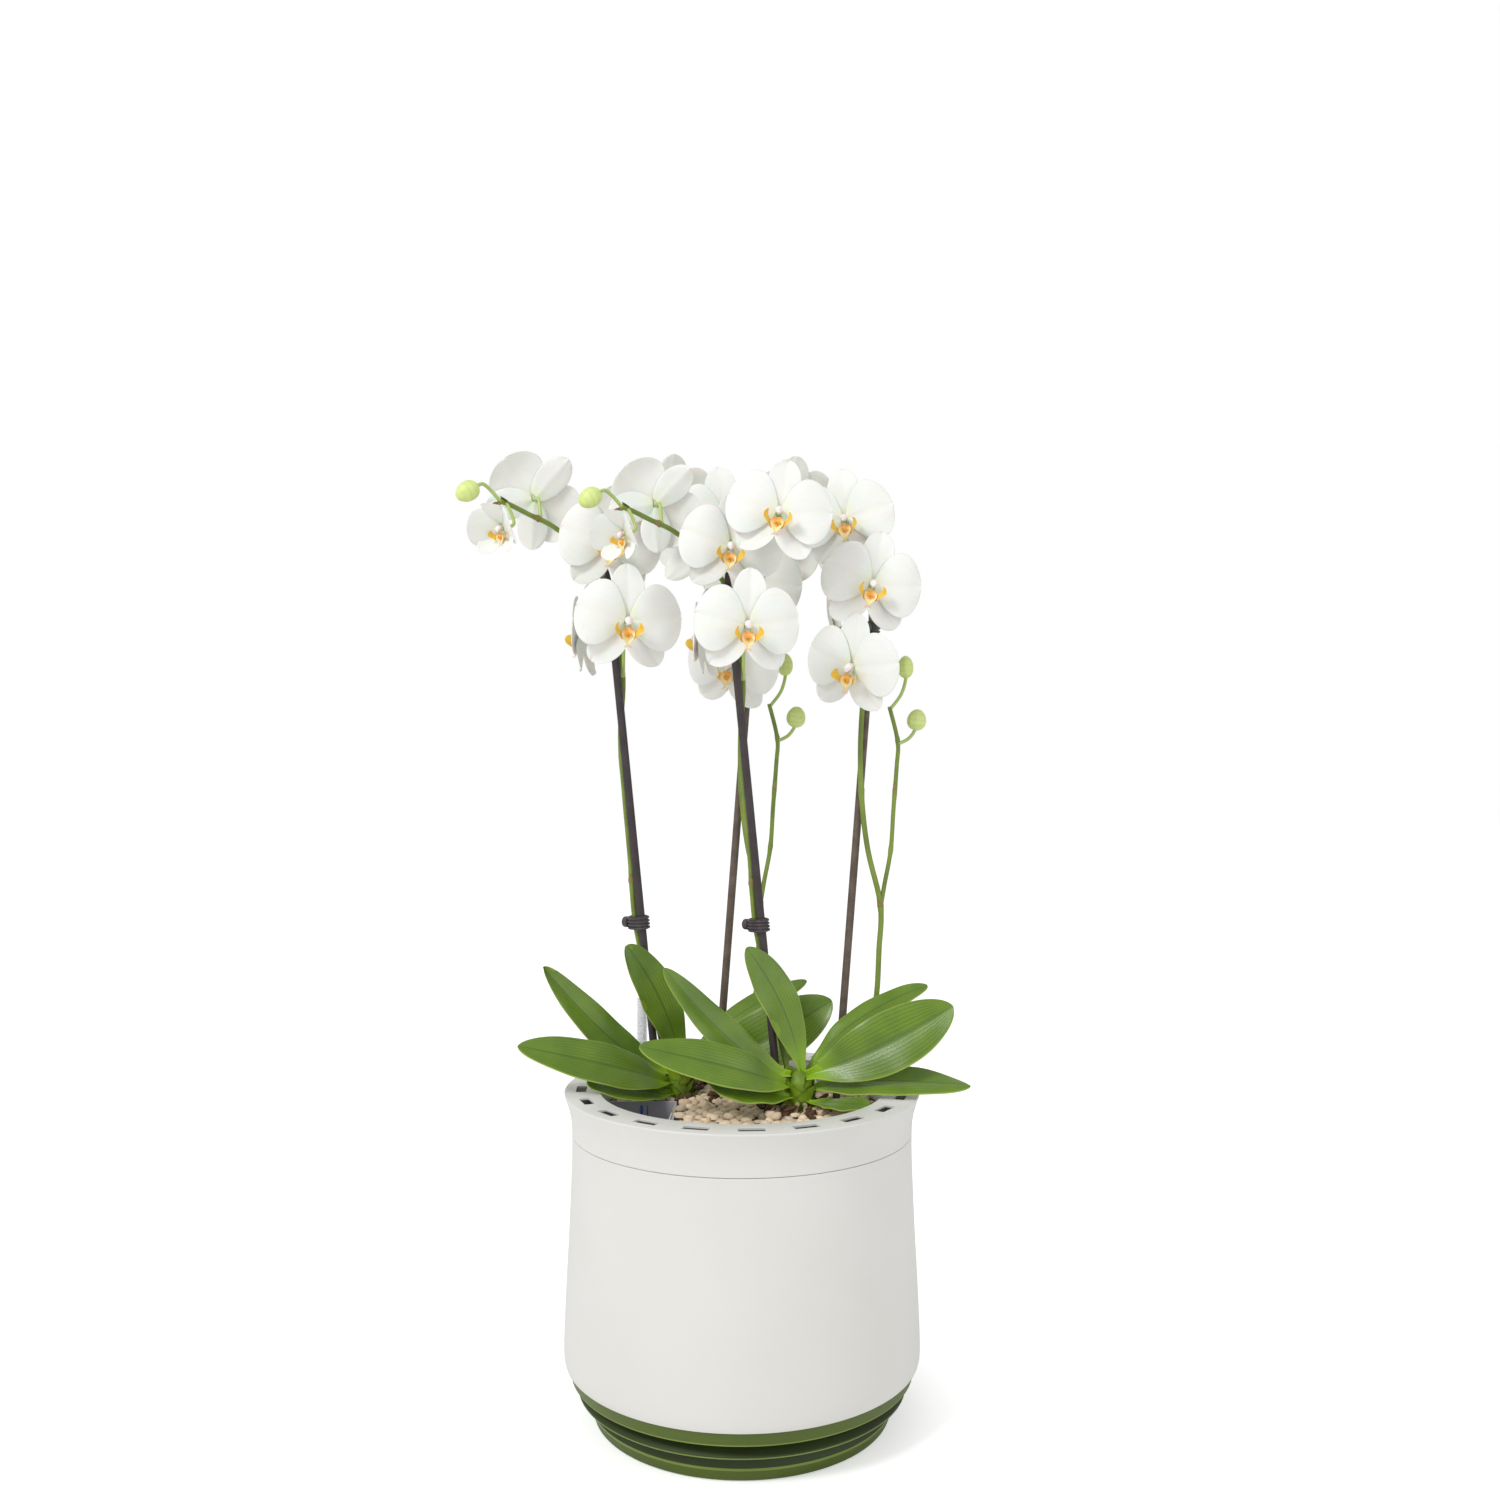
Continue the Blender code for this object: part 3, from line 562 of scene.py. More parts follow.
def node_group(name: str, inputs: dict, outputs: dict, body: Callable) -> bpy.types.NodeTree:
    """Makes a node group, or finds it if it is already made.

    Args:
        name: The group's name.
        inputs: Socket type and default value of each input.
        outputs: Socket type of each output.
        body: Fills the group; takes its graph and its input sockets, and returns its outputs by name.

    Returns:
        The group.
    """
    found = bpy.data.node_groups.get(name)
    if found is not None:
        return found
    tree = bpy.data.node_groups.new(name, "ShaderNodeTree")
    for key, (kind, value) in inputs.items():
        socket = tree.interface.new_socket(key, in_out="INPUT", socket_type=kind)
        socket.default_value = (*value, 1.0) if kind == "NodeSocketColor" else value
    for key, kind in outputs.items():
        tree.interface.new_socket(key, in_out="OUTPUT", socket_type=kind)
    graph = Graph(tree)
    entry = graph.add("NodeGroupInput", {})
    exit_node = graph.add("NodeGroupOutput", {})
    for key, socket in body(graph, entry.outputs).items():
        tree.links.new(socket, exit_node.inputs[key])
    return tree


FLOAT, COLOUR, VECTOR = "NodeSocketFloat", "NodeSocketColor", "NodeSocketVector"


def mottling() -> bpy.types.NodeTree:
    """Group that varies a colour in soft patches towards a second one."""

    def body(graph: Graph, given: Sockets) -> dict:
        """Fills the group."""
        patches = graph.step(graph.noise(graph.place(), given["Scale"], 5.0), 0.32, 0.68)
        share = graph.sum("MULTIPLY", patches, given["Amount"])
        return {"Colour": graph.mix(share, given["Colour"], given["Shade"]), "Patches": patches}

    inputs = {
        "Colour": (COLOUR, (0.8, 0.8, 0.8)), "Shade": (COLOUR, (0.5, 0.5, 0.5)),
        "Scale": (FLOAT, 30.0), "Amount": (FLOAT, 0.5),
    }
    return node_group("mottling", inputs, {"Colour": COLOUR, "Patches": FLOAT}, body)


def grain() -> bpy.types.NodeTree:
    """Group for a fine surface grain over a slower unevenness."""

    def body(graph: Graph, given: Sockets) -> dict:
        """Fills the group."""
        drawn = graph.drawn_out(graph.place(), given["Stretch"])
        fine = graph.noise(drawn, given["Scale"], 4.0)
        slow = graph.noise(drawn, graph.sum("MULTIPLY", given["Scale"], 0.12), 2.0)
        height = graph.sum("ADD", graph.sum("MULTIPLY", fine, 0.6), graph.sum("MULTIPLY", slow, 0.9))
        return {"Height": height, "Fine": fine}

    inputs = {"Scale": (FLOAT, 900.0), "Stretch": (VECTOR, (1.0, 1.0, 1.0))}
    return node_group("surface_grain", inputs, {"Height": FLOAT, "Fine": FLOAT}, body)


def rubbed_and_lit_edges() -> bpy.types.NodeTree:
    """Group that finds the sharp edges of a moulded piece, for rubbed wear and for a painted edge highlight.
    """

    def body(graph: Graph, given: Sockets) -> dict:
        """Fills the group."""
        edge = graph.step(graph.add("ShaderNodeNewGeometry", {}).outputs["Pointiness"], 0.52, 0.60)
        broken = graph.step(graph.noise(graph.place(), 140.0, 4.0), 0.35, 0.7)
        mask = graph.sum("MULTIPLY", graph.sum("MULTIPLY", edge, broken), given["Amount"], True)
        return {"Mask": mask}

    return node_group("rubbed_and_lit_edges", {"Amount": (FLOAT, 0.5)}, {"Mask": FLOAT}, body)


def settled_dust() -> bpy.types.NodeTree:
    """Group that finds the upward faces that dust settles on."""

    def body(graph: Graph, given: Sockets) -> dict:
        """Fills the group."""
        normal = graph.add("ShaderNodeNewGeometry", {}).outputs["Normal"]
        level = graph.step(graph.add("ShaderNodeSeparateXYZ", {0: normal}).outputs["Z"], 0.35, 0.95)
        specks = graph.step(graph.noise(graph.place(), 420.0, 6.0), 0.45, 0.72)
        mask = graph.sum("MULTIPLY", graph.sum("MULTIPLY", level, specks), given["Amount"], True)
        return {"Mask": mask}

    return node_group("settled_dust", {"Amount": (FLOAT, 0.3)}, {"Mask": FLOAT}, body)


def veins() -> bpy.types.NodeTree:
    """Group for fine veins that run along a blade's UV map."""

    def body(graph: Graph, given: Sockets) -> dict:
        """Fills the group."""
        split = graph.add("ShaderNodeSeparateXYZ", {0: given["Along"]})
        drawn = graph.drawn_out(given["Along"], (1.6, 7.0, 1.0))
        waver = graph.sum("MULTIPLY", graph.noise(drawn, 3.0, 2.0), given["Waver"])
        across = graph.sum("MULTIPLY", graph.sum("ADD", split.outputs["Y"], waver), given["Count"])
        wave = graph.sum("SINE", graph.sum("MULTIPLY", across, math.tau))
        lines = graph.step(wave, 0.1, 1.0)
        offset = graph.sum("SUBTRACT", split.outputs["Y"], 0.5)
        side = graph.sum("MULTIPLY", graph.sum("ABSOLUTE", offset), 2.0)
        return {"Lines": lines, "Side": side, "Length": split.outputs["X"]}

    inputs = {"Along": (VECTOR, (0.0, 0.0, 0.0)), "Count": (FLOAT, 20.0), "Waver": (FLOAT, 0.02)}
    return node_group("veins", inputs, {"Lines": FLOAT, "Side": FLOAT, "Length": FLOAT}, body)


@dataclass(frozen=True)
class Finish:
    """A surface finish: mottled colour, fine grain, rubbed edges (a painted highlight on the green base) and
    settled dust.

    Colours are linear. The grain's scale counts waves in a metre, and its relief is in metres.
    """

    name: str
    colour: Colour
    shade: Colour
    roughness: float = 0.5
    patch: float = 30.0
    amount: float = 0.5
    grain_scale: float = 900.0
    stretch: Point = (1.0, 1.0, 1.0)
    relief: float = 0.0001
    # Edge colour on sharp edges: rubbed wear, and on the green base a painted highlight.
    edge_rub_and_highlight: float = 0.0
    edge_rub_and_highlight_colour: Colour = (0.9, 0.9, 0.88)
    dust: float = 0.0
    dust_colour: Colour = (0.55, 0.50, 0.43)
    coat: float = 0.0
    specular: float = 0.5
    subsurface: float = 0.0
    glow: float = 0.0
    alpha: float = 1.0

    def colours(self, graph: Graph) -> tuple[Socket, Socket | None]:
        """Works out the colour, and any relief beside the grain.

        Args:
            graph: The material's graph.

        Returns:
            The colour's socket, and the relief's or None.
        """
        inputs = {"Colour": self.colour, "Shade": self.shade, "Scale": self.patch, "Amount": self.amount}
        return graph.group(mottling(), inputs)["Colour"], None

    def build(self) -> bpy.types.Material:
        """Makes the material, or finds it if it is already made."""
        found = bpy.data.materials.get(self.name)
        if found is not None:
            return found
        material = bpy.data.materials.new(self.name)
        material.use_nodes = True
        graph = Graph(material.node_tree)
        shader = material.node_tree.nodes["Principled BSDF"]
        colour, extra = self.colours(graph)
        # Sharp edges take the edge colour: rubbed wear, and on the green base a painted highlight.
        if self.edge_rub_and_highlight:
            worn = graph.group(rubbed_and_lit_edges(), {"Amount": self.edge_rub_and_highlight})["Mask"]
            colour = graph.mix(worn, colour, self.edge_rub_and_highlight_colour)
        if self.dust:
            dusty = graph.group(settled_dust(), {"Amount": self.dust})["Mask"]
            colour = graph.mix(dusty, colour, self.dust_colour)
        fine = graph.group(grain(), {"Scale": self.grain_scale, "Stretch": self.stretch})
        height = fine["Height"]
        if extra is not None:
            height = graph.sum("ADD", height, extra)
        bump = graph.add("ShaderNodeBump", {"Strength": 0.6, "Distance": self.relief, "Height": height})
        graph.feed(shader, {
            "Base Color": colour,
            "Roughness": graph.step(fine["Fine"], 0.3, 0.7, self.roughness - 0.06, self.roughness + 0.06),
            "Normal": bump.outputs["Normal"],
            "Coat Weight": self.coat,
            "Coat Roughness": 0.22,
            "Specular IOR Level": self.specular,
            "Alpha": self.alpha,
            "Subsurface Weight": self.subsurface,
            "Subsurface Scale": 0.002,
        })
        if self.glow:
            seen = graph.add("ShaderNodeLightPath", {}).outputs["Is Camera Ray"]
            strength = graph.sum("MULTIPLY", seen, self.glow)
            graph.feed(shader, {"Emission Color": (1.0, 1.0, 1.0), "Emission Strength": strength})
        return material


@dataclass(frozen=True)
class BladeFinish(Finish):
    """A finish for leaves, petals and bracts, with veins along the blade."""

    vein_colour: Colour = (0.2, 0.3, 0.1)
    vein_count: float = 24.0
    vein_waver: float = 0.02
    vein_amount: float = 0.3
    vein_relief: float = 0.25
    midrib_colour: Colour = (0.1, 0.2, 0.05)
    midrib_amount: float = 0.6
    margin_colour: Colour = (0.4, 0.4, 0.1)
    margin_amount: float = 0.5
    root_colour: Colour = (0.3, 0.5, 0.05)
    root_amount: float = 0.8
    root_reach: float = 0.22

    def colours(self, graph: Graph) -> tuple[Socket, Socket | None]:
        """Works out the colour from the root to the margin, and the veins' relief.

        Args:
            graph: The material's graph.

        Returns:
            The colour's socket and the relief's.
        """
        colour, _ = super().colours(graph)
        uv = graph.add("ShaderNodeUVMap", {}).outputs[0]
        lined = graph.group(veins(), {"Along": uv, "Count": self.vein_count, "Waver": self.vein_waver})
        lines, side, length = (lined[key] for key in ("Lines", "Side", "Length"))
        colour = graph.mix(graph.sum("MULTIPLY", lines, self.vein_amount), colour, self.vein_colour)
        midrib = graph.step(side, 0.015, 0.075, self.midrib_amount, 0.0)
        colour = graph.mix(midrib, colour, self.midrib_colour)
        margin = graph.step(side, 0.93, 0.99, 0.0, self.margin_amount)
        colour = graph.mix(margin, colour, self.margin_colour)
        root = graph.step(length, 0.0, self.root_reach, self.root_amount, 0.0)
        return graph.mix(root, colour, self.root_colour), graph.sum("MULTIPLY", lines, self.vein_relief)


@dataclass(frozen=True)
class TintedFinish(Finish):
    """A finish whose pieces each carry their own tone in the mesh."""

    def colours(self, graph: Graph) -> tuple[Socket, Socket | None]:
        """Works out the colour from each piece's own tone.

        Args:
            graph: The material's graph.

        Returns:
            The colour's socket and None.
        """
        colour, _ = super().colours(graph)
        own = graph.add("ShaderNodeAttribute", {}, attribute_name=TONE_LAYER).outputs["Color"]
        return graph.mix(1.0, colour, own, "MULTIPLY"), None


TONE_LAYER = "piece_tone"

WHITE = Finish(
    "white_moulding", tone(218, 217, 213), tone(212, 211, 206), roughness=0.40, patch=9.0, amount=0.5,
    grain_scale=1500.0, relief=0.00006, edge_rub_and_highlight=0.3, edge_rub_and_highlight_colour=tone(236, 236, 232), dust=0.10,
    dust_colour=tone(190, 186, 178),
)
# Painted shade: the base's green is the plastic's own, darkened further to stand for the shade low on the
# pot.
GREEN = Finish(
    "green_moulding", tone(78, 97, 6), tone(66, 84, 4), roughness=0.45, patch=12.0, amount=0.5,
    # Its edge colour is a painted highlight along the louvre lips' edges.
    grain_scale=1500.0, relief=0.00006, edge_rub_and_highlight=0.2, edge_rub_and_highlight_colour=tone(140, 156, 84), dust=0.05,
)
# Painted highlight: a lighter green on the louvre lips' edges, where light catches them.
GREEN_PAINTED_HIGHLIGHT = Finish(
    "green_moulding_painted_highlight", tone(122, 140, 54), tone(104, 122, 42), roughness=0.38, patch=14.0,
    grain_scale=1500.0, relief=0.00005,
)
# Painted shade: a dark green on the recesses under the louvre lips, which the lip above shades.
GREEN_PAINTED_SHADE = Finish(
    "green_moulding_painted_shade", tone(44, 60, 6), tone(34, 46, 4), roughness=0.6, patch=14.0,
    grain_scale=1500.0, relief=0.00006,
)
GREY = Finish(
    "lilac_grey_moulding", tone(182, 181, 190), tone(168, 167, 177), roughness=0.38, patch=20.0,
    relief=0.00005, edge_rub_and_highlight=0.3, edge_rub_and_highlight_colour=tone(214, 212, 220), dust=0.25,
)
LINER = Finish(
    "pale_liner_moulding", tone(214, 213, 214), tone(196, 195, 198), roughness=0.45, patch=18.0,
    relief=0.00005, dust=0.2,
)
BLACK = Finish(
    "black_moulding", tone(34, 34, 35), tone(26, 26, 27), roughness=0.5, patch=20.0, edge_rub_and_highlight=0.4,
    edge_rub_and_highlight_colour=tone(90, 90, 90), dust=0.15,
)
CLIP = Finish(
    "clip_moulding", tone(62, 54, 57), tone(46, 39, 42), roughness=0.42, patch=60.0, edge_rub_and_highlight=0.6,
    edge_rub_and_highlight_colour=tone(120, 104, 112), relief=0.00004,
)
CLEAR = Finish(
    "clear_moulding", tone(238, 241, 244), tone(226, 231, 236), roughness=0.12, patch=60.0,
    relief=0.00001, alpha=0.42,
)
STAKE = Finish(
    "stake_coating", tone(58, 48, 50), tone(44, 35, 38), roughness=0.5, patch=90.0, amount=0.8,
    grain_scale=1300.0, stretch=(1.0, 1.0, 0.06), relief=0.0002, edge_rub_and_highlight=0.3, edge_rub_and_highlight_colour=tone(120, 104, 100),
)
STAKE_PALE = Finish(
    "stake_coating_worn", tone(102, 88, 74), tone(74, 62, 54), roughness=0.55, patch=90.0, amount=0.8,
    grain_scale=1300.0, stretch=(1.0, 1.0, 0.06), relief=0.0002, edge_rub_and_highlight=0.4, edge_rub_and_highlight_colour=tone(150, 136, 124),
)
STEM = Finish(
    "stem_skin", tone(122, 142, 52), tone(96, 116, 40), roughness=0.40, patch=45.0, amount=0.9,
    grain_scale=1200.0, stretch=(1.0, 1.0, 0.15), relief=0.00012, edge_rub_and_highlight=0.3, edge_rub_and_highlight_colour=tone(150, 150, 84),
)
STEM_NODE = Finish(
    "stem_joint", tone(138, 128, 66), tone(112, 92, 50), roughness=0.55, patch=300.0, relief=0.00015,
)
STALK = Finish(
    "flower_stalk_skin", tone(178, 198, 118), tone(150, 178, 86), roughness=0.42, patch=60.0,
    grain_scale=1200.0, relief=0.00008,
)
BUD = BladeFinish(
    "bud_skin", tone(212, 226, 144), tone(194, 212, 116), roughness=0.42, patch=120.0, relief=0.0001,
    grain_scale=1500.0, subsurface=0.15, vein_colour=tone(176, 202, 108), vein_count=6.0, vein_amount=0.25,
    midrib_amount=0.0, margin_amount=0.0, root_colour=tone(150, 180, 70), root_amount=0.3,
)
LEAF = BladeFinish(
    "leaf_upper_skin", tone(108, 139, 28), tone(80, 112, 17), roughness=0.34, patch=26.0, amount=0.8,
    grain_scale=900.0, relief=0.00020, coat=0.12, vein_colour=tone(58, 88, 16), vein_count=15.0,
    vein_waver=0.014, vein_amount=0.42, midrib_colour=tone(48, 76, 14), midrib_amount=0.50,
    margin_colour=tone(150, 172, 78), margin_amount=0.70, root_colour=tone(140, 180, 36),
    root_amount=0.95, root_reach=0.26,
)
LEAF_UNDER = BladeFinish(
    "leaf_lower_skin", tone(124, 158, 38), tone(100, 136, 28), roughness=0.42, patch=26.0, amount=0.8,
    grain_scale=900.0, relief=0.00014, subsurface=0.05, vein_colour=tone(74, 116, 30), vein_count=15.0,
    vein_waver=0.014, vein_amount=0.38, midrib_colour=tone(140, 176, 58), midrib_amount=0.7,
    margin_colour=tone(170, 184, 82), margin_amount=0.7, root_colour=tone(152, 190, 40), root_amount=0.95,
    root_reach=0.36,
)
SHEATH = BladeFinish(
    "sheath_skin", tone(140, 168, 30), tone(108, 140, 22), roughness=0.42, patch=80.0, amount=0.8,
    relief=0.00015, vein_colour=tone(88, 124, 26), vein_count=9.0, vein_amount=0.45, midrib_amount=0.1,
    margin_colour=tone(74, 96, 26), margin_amount=0.85, root_colour=tone(92, 118, 28), root_amount=0.5,
    root_reach=0.3,
)
CROWN_FOOT = Finish(
    "crown_foot_skin", tone(122, 152, 32), tone(88, 116, 22), roughness=0.5, patch=120.0, amount=0.9,
    grain_scale=800.0, relief=0.0003,
)
ROOT = Finish(
    "aerial_root_skin", tone(172, 160, 124), tone(112, 98, 66), roughness=0.75, patch=160.0, amount=0.9,
    grain_scale=1500.0, relief=0.0002,
)
PETAL = BladeFinish(
    "petal_skin", tone(234, 235, 231), tone(228, 230, 225), roughness=0.55, patch=40.0, amount=0.6,
    grain_scale=2200.0, relief=0.00004, specular=0.3, subsurface=0.25, vein_colour=tone(224, 227, 220),
    vein_count=9.0, vein_waver=0.045, vein_amount=0.14, midrib_colour=tone(226, 230, 216),
    midrib_amount=0.35, margin_amount=0.0, root_colour=tone(226, 232, 196), root_amount=0.65,
    root_reach=0.20,
)
LIP_YELLOW = BladeFinish(
    "lip_side_skin", tone(244, 212, 84), tone(240, 192, 46), roughness=0.45, patch=260.0, amount=0.7,
    grain_scale=2500.0, relief=0.00005, subsurface=0.1, vein_colour=tone(188, 84, 30), vein_count=5.0,
    vein_waver=0.05, vein_amount=0.55, midrib_amount=0.0, margin_colour=tone(252, 248, 238),
    margin_amount=0.95, root_colour=tone(236, 156, 30), root_amount=0.75, root_reach=0.34,
)
LIP_WHITE = BladeFinish(
    "lip_front_skin", tone(248, 230, 150), tone(248, 240, 214), roughness=0.45, patch=260.0, amount=0.6,
    grain_scale=2500.0, relief=0.00005, subsurface=0.2, vein_colour=tone(214, 150, 110), vein_count=4.0,
    vein_amount=0.2, midrib_colour=tone(240, 196, 84), midrib_amount=0.5, margin_amount=0.0,
    root_colour=tone(240, 160, 30), root_amount=0.95, root_reach=0.42,
)
CALLUS = Finish(
    "callus_skin", tone(244, 166, 34), tone(234, 134, 20), roughness=0.35, patch=500.0, relief=0.00008,
    grain_scale=2500.0,
)
COLUMN = Finish(
    "column_skin", tone(247, 240, 238), tone(232, 196, 206), roughness=0.4, patch=200.0, amount=0.5,
    relief=0.00005, subsurface=0.2,
)
GRANULE = TintedFinish(
    "granule_crust", tone(238, 222, 200), tone(224, 202, 176), roughness=0.88, patch=300.0, amount=0.7,
    grain_scale=1300.0, relief=0.0004,
)
BARK = TintedFinish(
    "bark_chip", tone(96, 68, 44), tone(58, 40, 26), roughness=0.9, patch=300.0, amount=0.9,
    grain_scale=1200.0, stretch=(0.3, 1.0, 1.0), relief=0.0006,
)
BED = Finish(
    "granule_bed", tone(62, 47, 34), tone(34, 25, 18), roughness=0.95, patch=220.0, amount=0.9,
    grain_scale=420.0, relief=0.0012,
)
MARK = Finish("level_mark", tone(62, 104, 186), tone(48, 86, 168), roughness=0.4, patch=200.0)
FLOOR = Finish(
    "pale_floor", tone(250, 250, 250), tone(248, 248, 248), roughness=0.8, patch=3.0, relief=0.00003,
    specular=0.1, glow=0.40,
)


# --- Pot -------------------------------------------------------------------------------------------


@dataclass
class OuterPot:
    """The louvred green base, the white shell and the white collar with its air slots."""

    steps: int = 192
    wall: float = 0.003
    slot_count: int = 20
    slot_turn: float = 3.4
    slot_circle: float = 0.1176
    slot_length: float = 0.018
    slot_width: float = 0.0075
    slot_corner: float = 0.0009
    rim_thickness: float = 0.0014
    mouth_radius: float = 0.104
    seam_radius: float = 0.1243
    belly_height: float = 0.052
    foot_tuck: float = 0.001
    gap: float = 0.0003
    # The foot's lip also takes the painted highlight.
    foot_lip: tuple[float, float] = (0.1110, 0.0092)
    louvres: tuple[tuple[float, float, float, float], ...] = (
        (0.1249, 0.0315, 0.0150, 0.0020),
        (0.1197, 0.0204, 0.0110, 0.0030),
    )

    def __post_init__(self) -> None:
        """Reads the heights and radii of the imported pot."""
        shell_low, shell_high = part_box("outer_shell")
        collar_low, collar_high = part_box("rim_collar")
        self.shell_foot, self.shell_top = shell_low.z, shell_high.z
        self.belly_radius = shell_high.x
        self.collar_foot, self.rim_height = collar_low.z, collar_high.z
        self.rim_radius = collar_high.x

    def build_shell(self) -> None:
        """Turns the shell, widest near its foot."""
        rise = self.shell_top - self.belly_height
        swell = self.belly_radius - self.seam_radius
        knots = [(self.seam_radius + swell * s, 0.0, self.shell_top - rise * h)
                 for s, h in ((0, 0), (0.02, 0.12), (0.32, 0.42), (0.74, 0.74), (1.0, 1.0))]
        knots.append((self.belly_radius - self.foot_tuck, 0.0, self.shell_foot))
        outside = [(p.x, p.z) for p in smooth_route(knots, 6)]
        inside = [(radius - self.wall, height) for radius, height in reversed(outside)]
        bm = bmesh.new()
        turned(bm, eased(outside + inside, 0.0006, 2), self.steps)
        piece("outer_shell_moulding", bm, (WHITE,), Slot.WHITE, ("outer_shell",))

    def build_collar(self) -> None:
        """Turns the flared collar and cuts its slots."""
        rise = self.rim_height - self.collar_foot
        flare = self.rim_radius - self.seam_radius
        knots = [(self.seam_radius + flare * f, 0.0, self.rim_height - rise * h)
                 for f, h in ((0, 1.0), (0.06, 0.75), (0.24, 0.5), (0.62, 0.24), (0.92, 0.07))]
        outside = [(p.x, p.z) for p in smooth_route(knots, 5)]
        under = self.rim_height - self.rim_thickness
        top = [(self.rim_radius, self.rim_height - 0.0012), (self.rim_radius - 0.0002, self.rim_height),
               (self.mouth_radius, self.rim_height), (self.mouth_radius, under)]
        inside = [(r - self.wall, h) for r, h in reversed(outside) if h < under - 0.001]
        bm = bmesh.new()
        turned(bm, eased(outside + top + [(inside[0][0], under)] + inside, 0.0005, 2), self.steps)
        collar = piece("rim_collar_moulding", bm, (WHITE,), Slot.WHITE, ("rim_collar",))
        cutters = bmesh.new()
        for index in range(self.slot_count):
            angle = math.tau * index / self.slot_count + math.radians(self.slot_turn - 90)
            turn = Matrix.Rotation(angle, 4, "Z")
            place = Matrix.Translation((self.slot_circle, 0.0, under + self.rim_thickness / 2))
            size = placed((0, 0, 0), (self.slot_width, self.slot_length, 3 * self.rim_thickness))
            cube = bmesh.ops.create_cube(cutters, size=1.0, matrix=size)["verts"]
            upright = [edge for edge in distinct(edge for vert in cube for edge in vert.link_edges)
                       if abs(edge.verts[0].co.z - edge.verts[1].co.z) > 0.001]
            known = set(cutters.verts) - set(cube)
            bmesh.ops.bevel(
                cutters, geom=upright, offset=self.slot_corner, offset_type="OFFSET", segments=3,
                profile=0.5, affect="EDGES", material=-1,
            )
            fresh = [vert for vert in cutters.verts if vert not in known]
            bmesh.ops.transform(cutters, matrix=turn @ place, verts=fresh)
        cut(collar, cutters)
        soften(collar, 0.00035, 50.0)

    def build_base(self) -> None:
        """Turns the base, which steps in under each louvre lip down to the foot."""
        low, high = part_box("louvred_base")
        shoulder = self.shell_foot - self.gap
        spigot = self.belly_radius - self.foot_tuck - self.wall - 2 * self.gap
        outside = [(spigot, high.z), (spigot, shoulder), (self.belly_radius - 0.0022, shoulder)]
        for lip, height, depth, groove in self.louvres:
            outside += [(lip + 0.0002, height + 0.0016), (lip, height), (lip - 0.0010, height - 0.0004),
                        (lip - depth, height - groove)]
        outside += [(0.1112, 0.0105), (0.1105, 0.0081), (0.1080, 0.0012), (0.1062, low.z), (0.0, low.z)]
        inside = [(0.0, 0.003), (0.102, 0.003), (0.1057, 0.0184), (0.1069, 0.0315), (spigot - 0.003, 0.0375),
                  (spigot - 0.003, high.z)]
        bm = bmesh.new()
        turned(bm, eased(inside + outside, 0.0007, 3), self.steps, closed=False)
        # Paints a highlight on the lips and shade in the recesses.
        self.paint_louvre_light_and_shade(bm, shoulder)
        piece("louvred_base_moulding", bm, (GREEN, GREEN_PAINTED_HIGHLIGHT, GREEN_PAINTED_SHADE), Slot.GREEN, ("louvred_base",))

    def paint_louvre_light_and_shade(self, bm: Mesh, shoulder: float) -> None:
        """Paints a highlight on the louvres' lips and shade in the recesses under them, each as a finish of
        its own.

        Args:
            bm: The base.
            shoulder: Height of the ledge that the shell stands on.
        """
        lips = [(radius, height) for radius, height, _, _ in self.louvres] + [self.foot_lip]
        for face in bm.faces:
            middle = face.calc_center_median()
            radius, height = middle.xy.length, middle.z
            if radius < 0.1075 or height > shoulder:
                continue
            # Faces on a lip's edge take the painted highlight.
            lit_lip = any(abs(radius - lip) < 0.0007 and abs(height - rise) < 0.0009 for lip, rise in lips)
            # Other faces between the foot lip and the top lip take the painted shade of the recesses.
            under = lips[-1][1] < height < lips[0][1]
            face.material_index = 1 if lit_lip else 2 if under else 0

    def build(self) -> None:
        """Builds the three mouldings."""
        self.build_shell()
        self.build_collar()
        self.build_base()


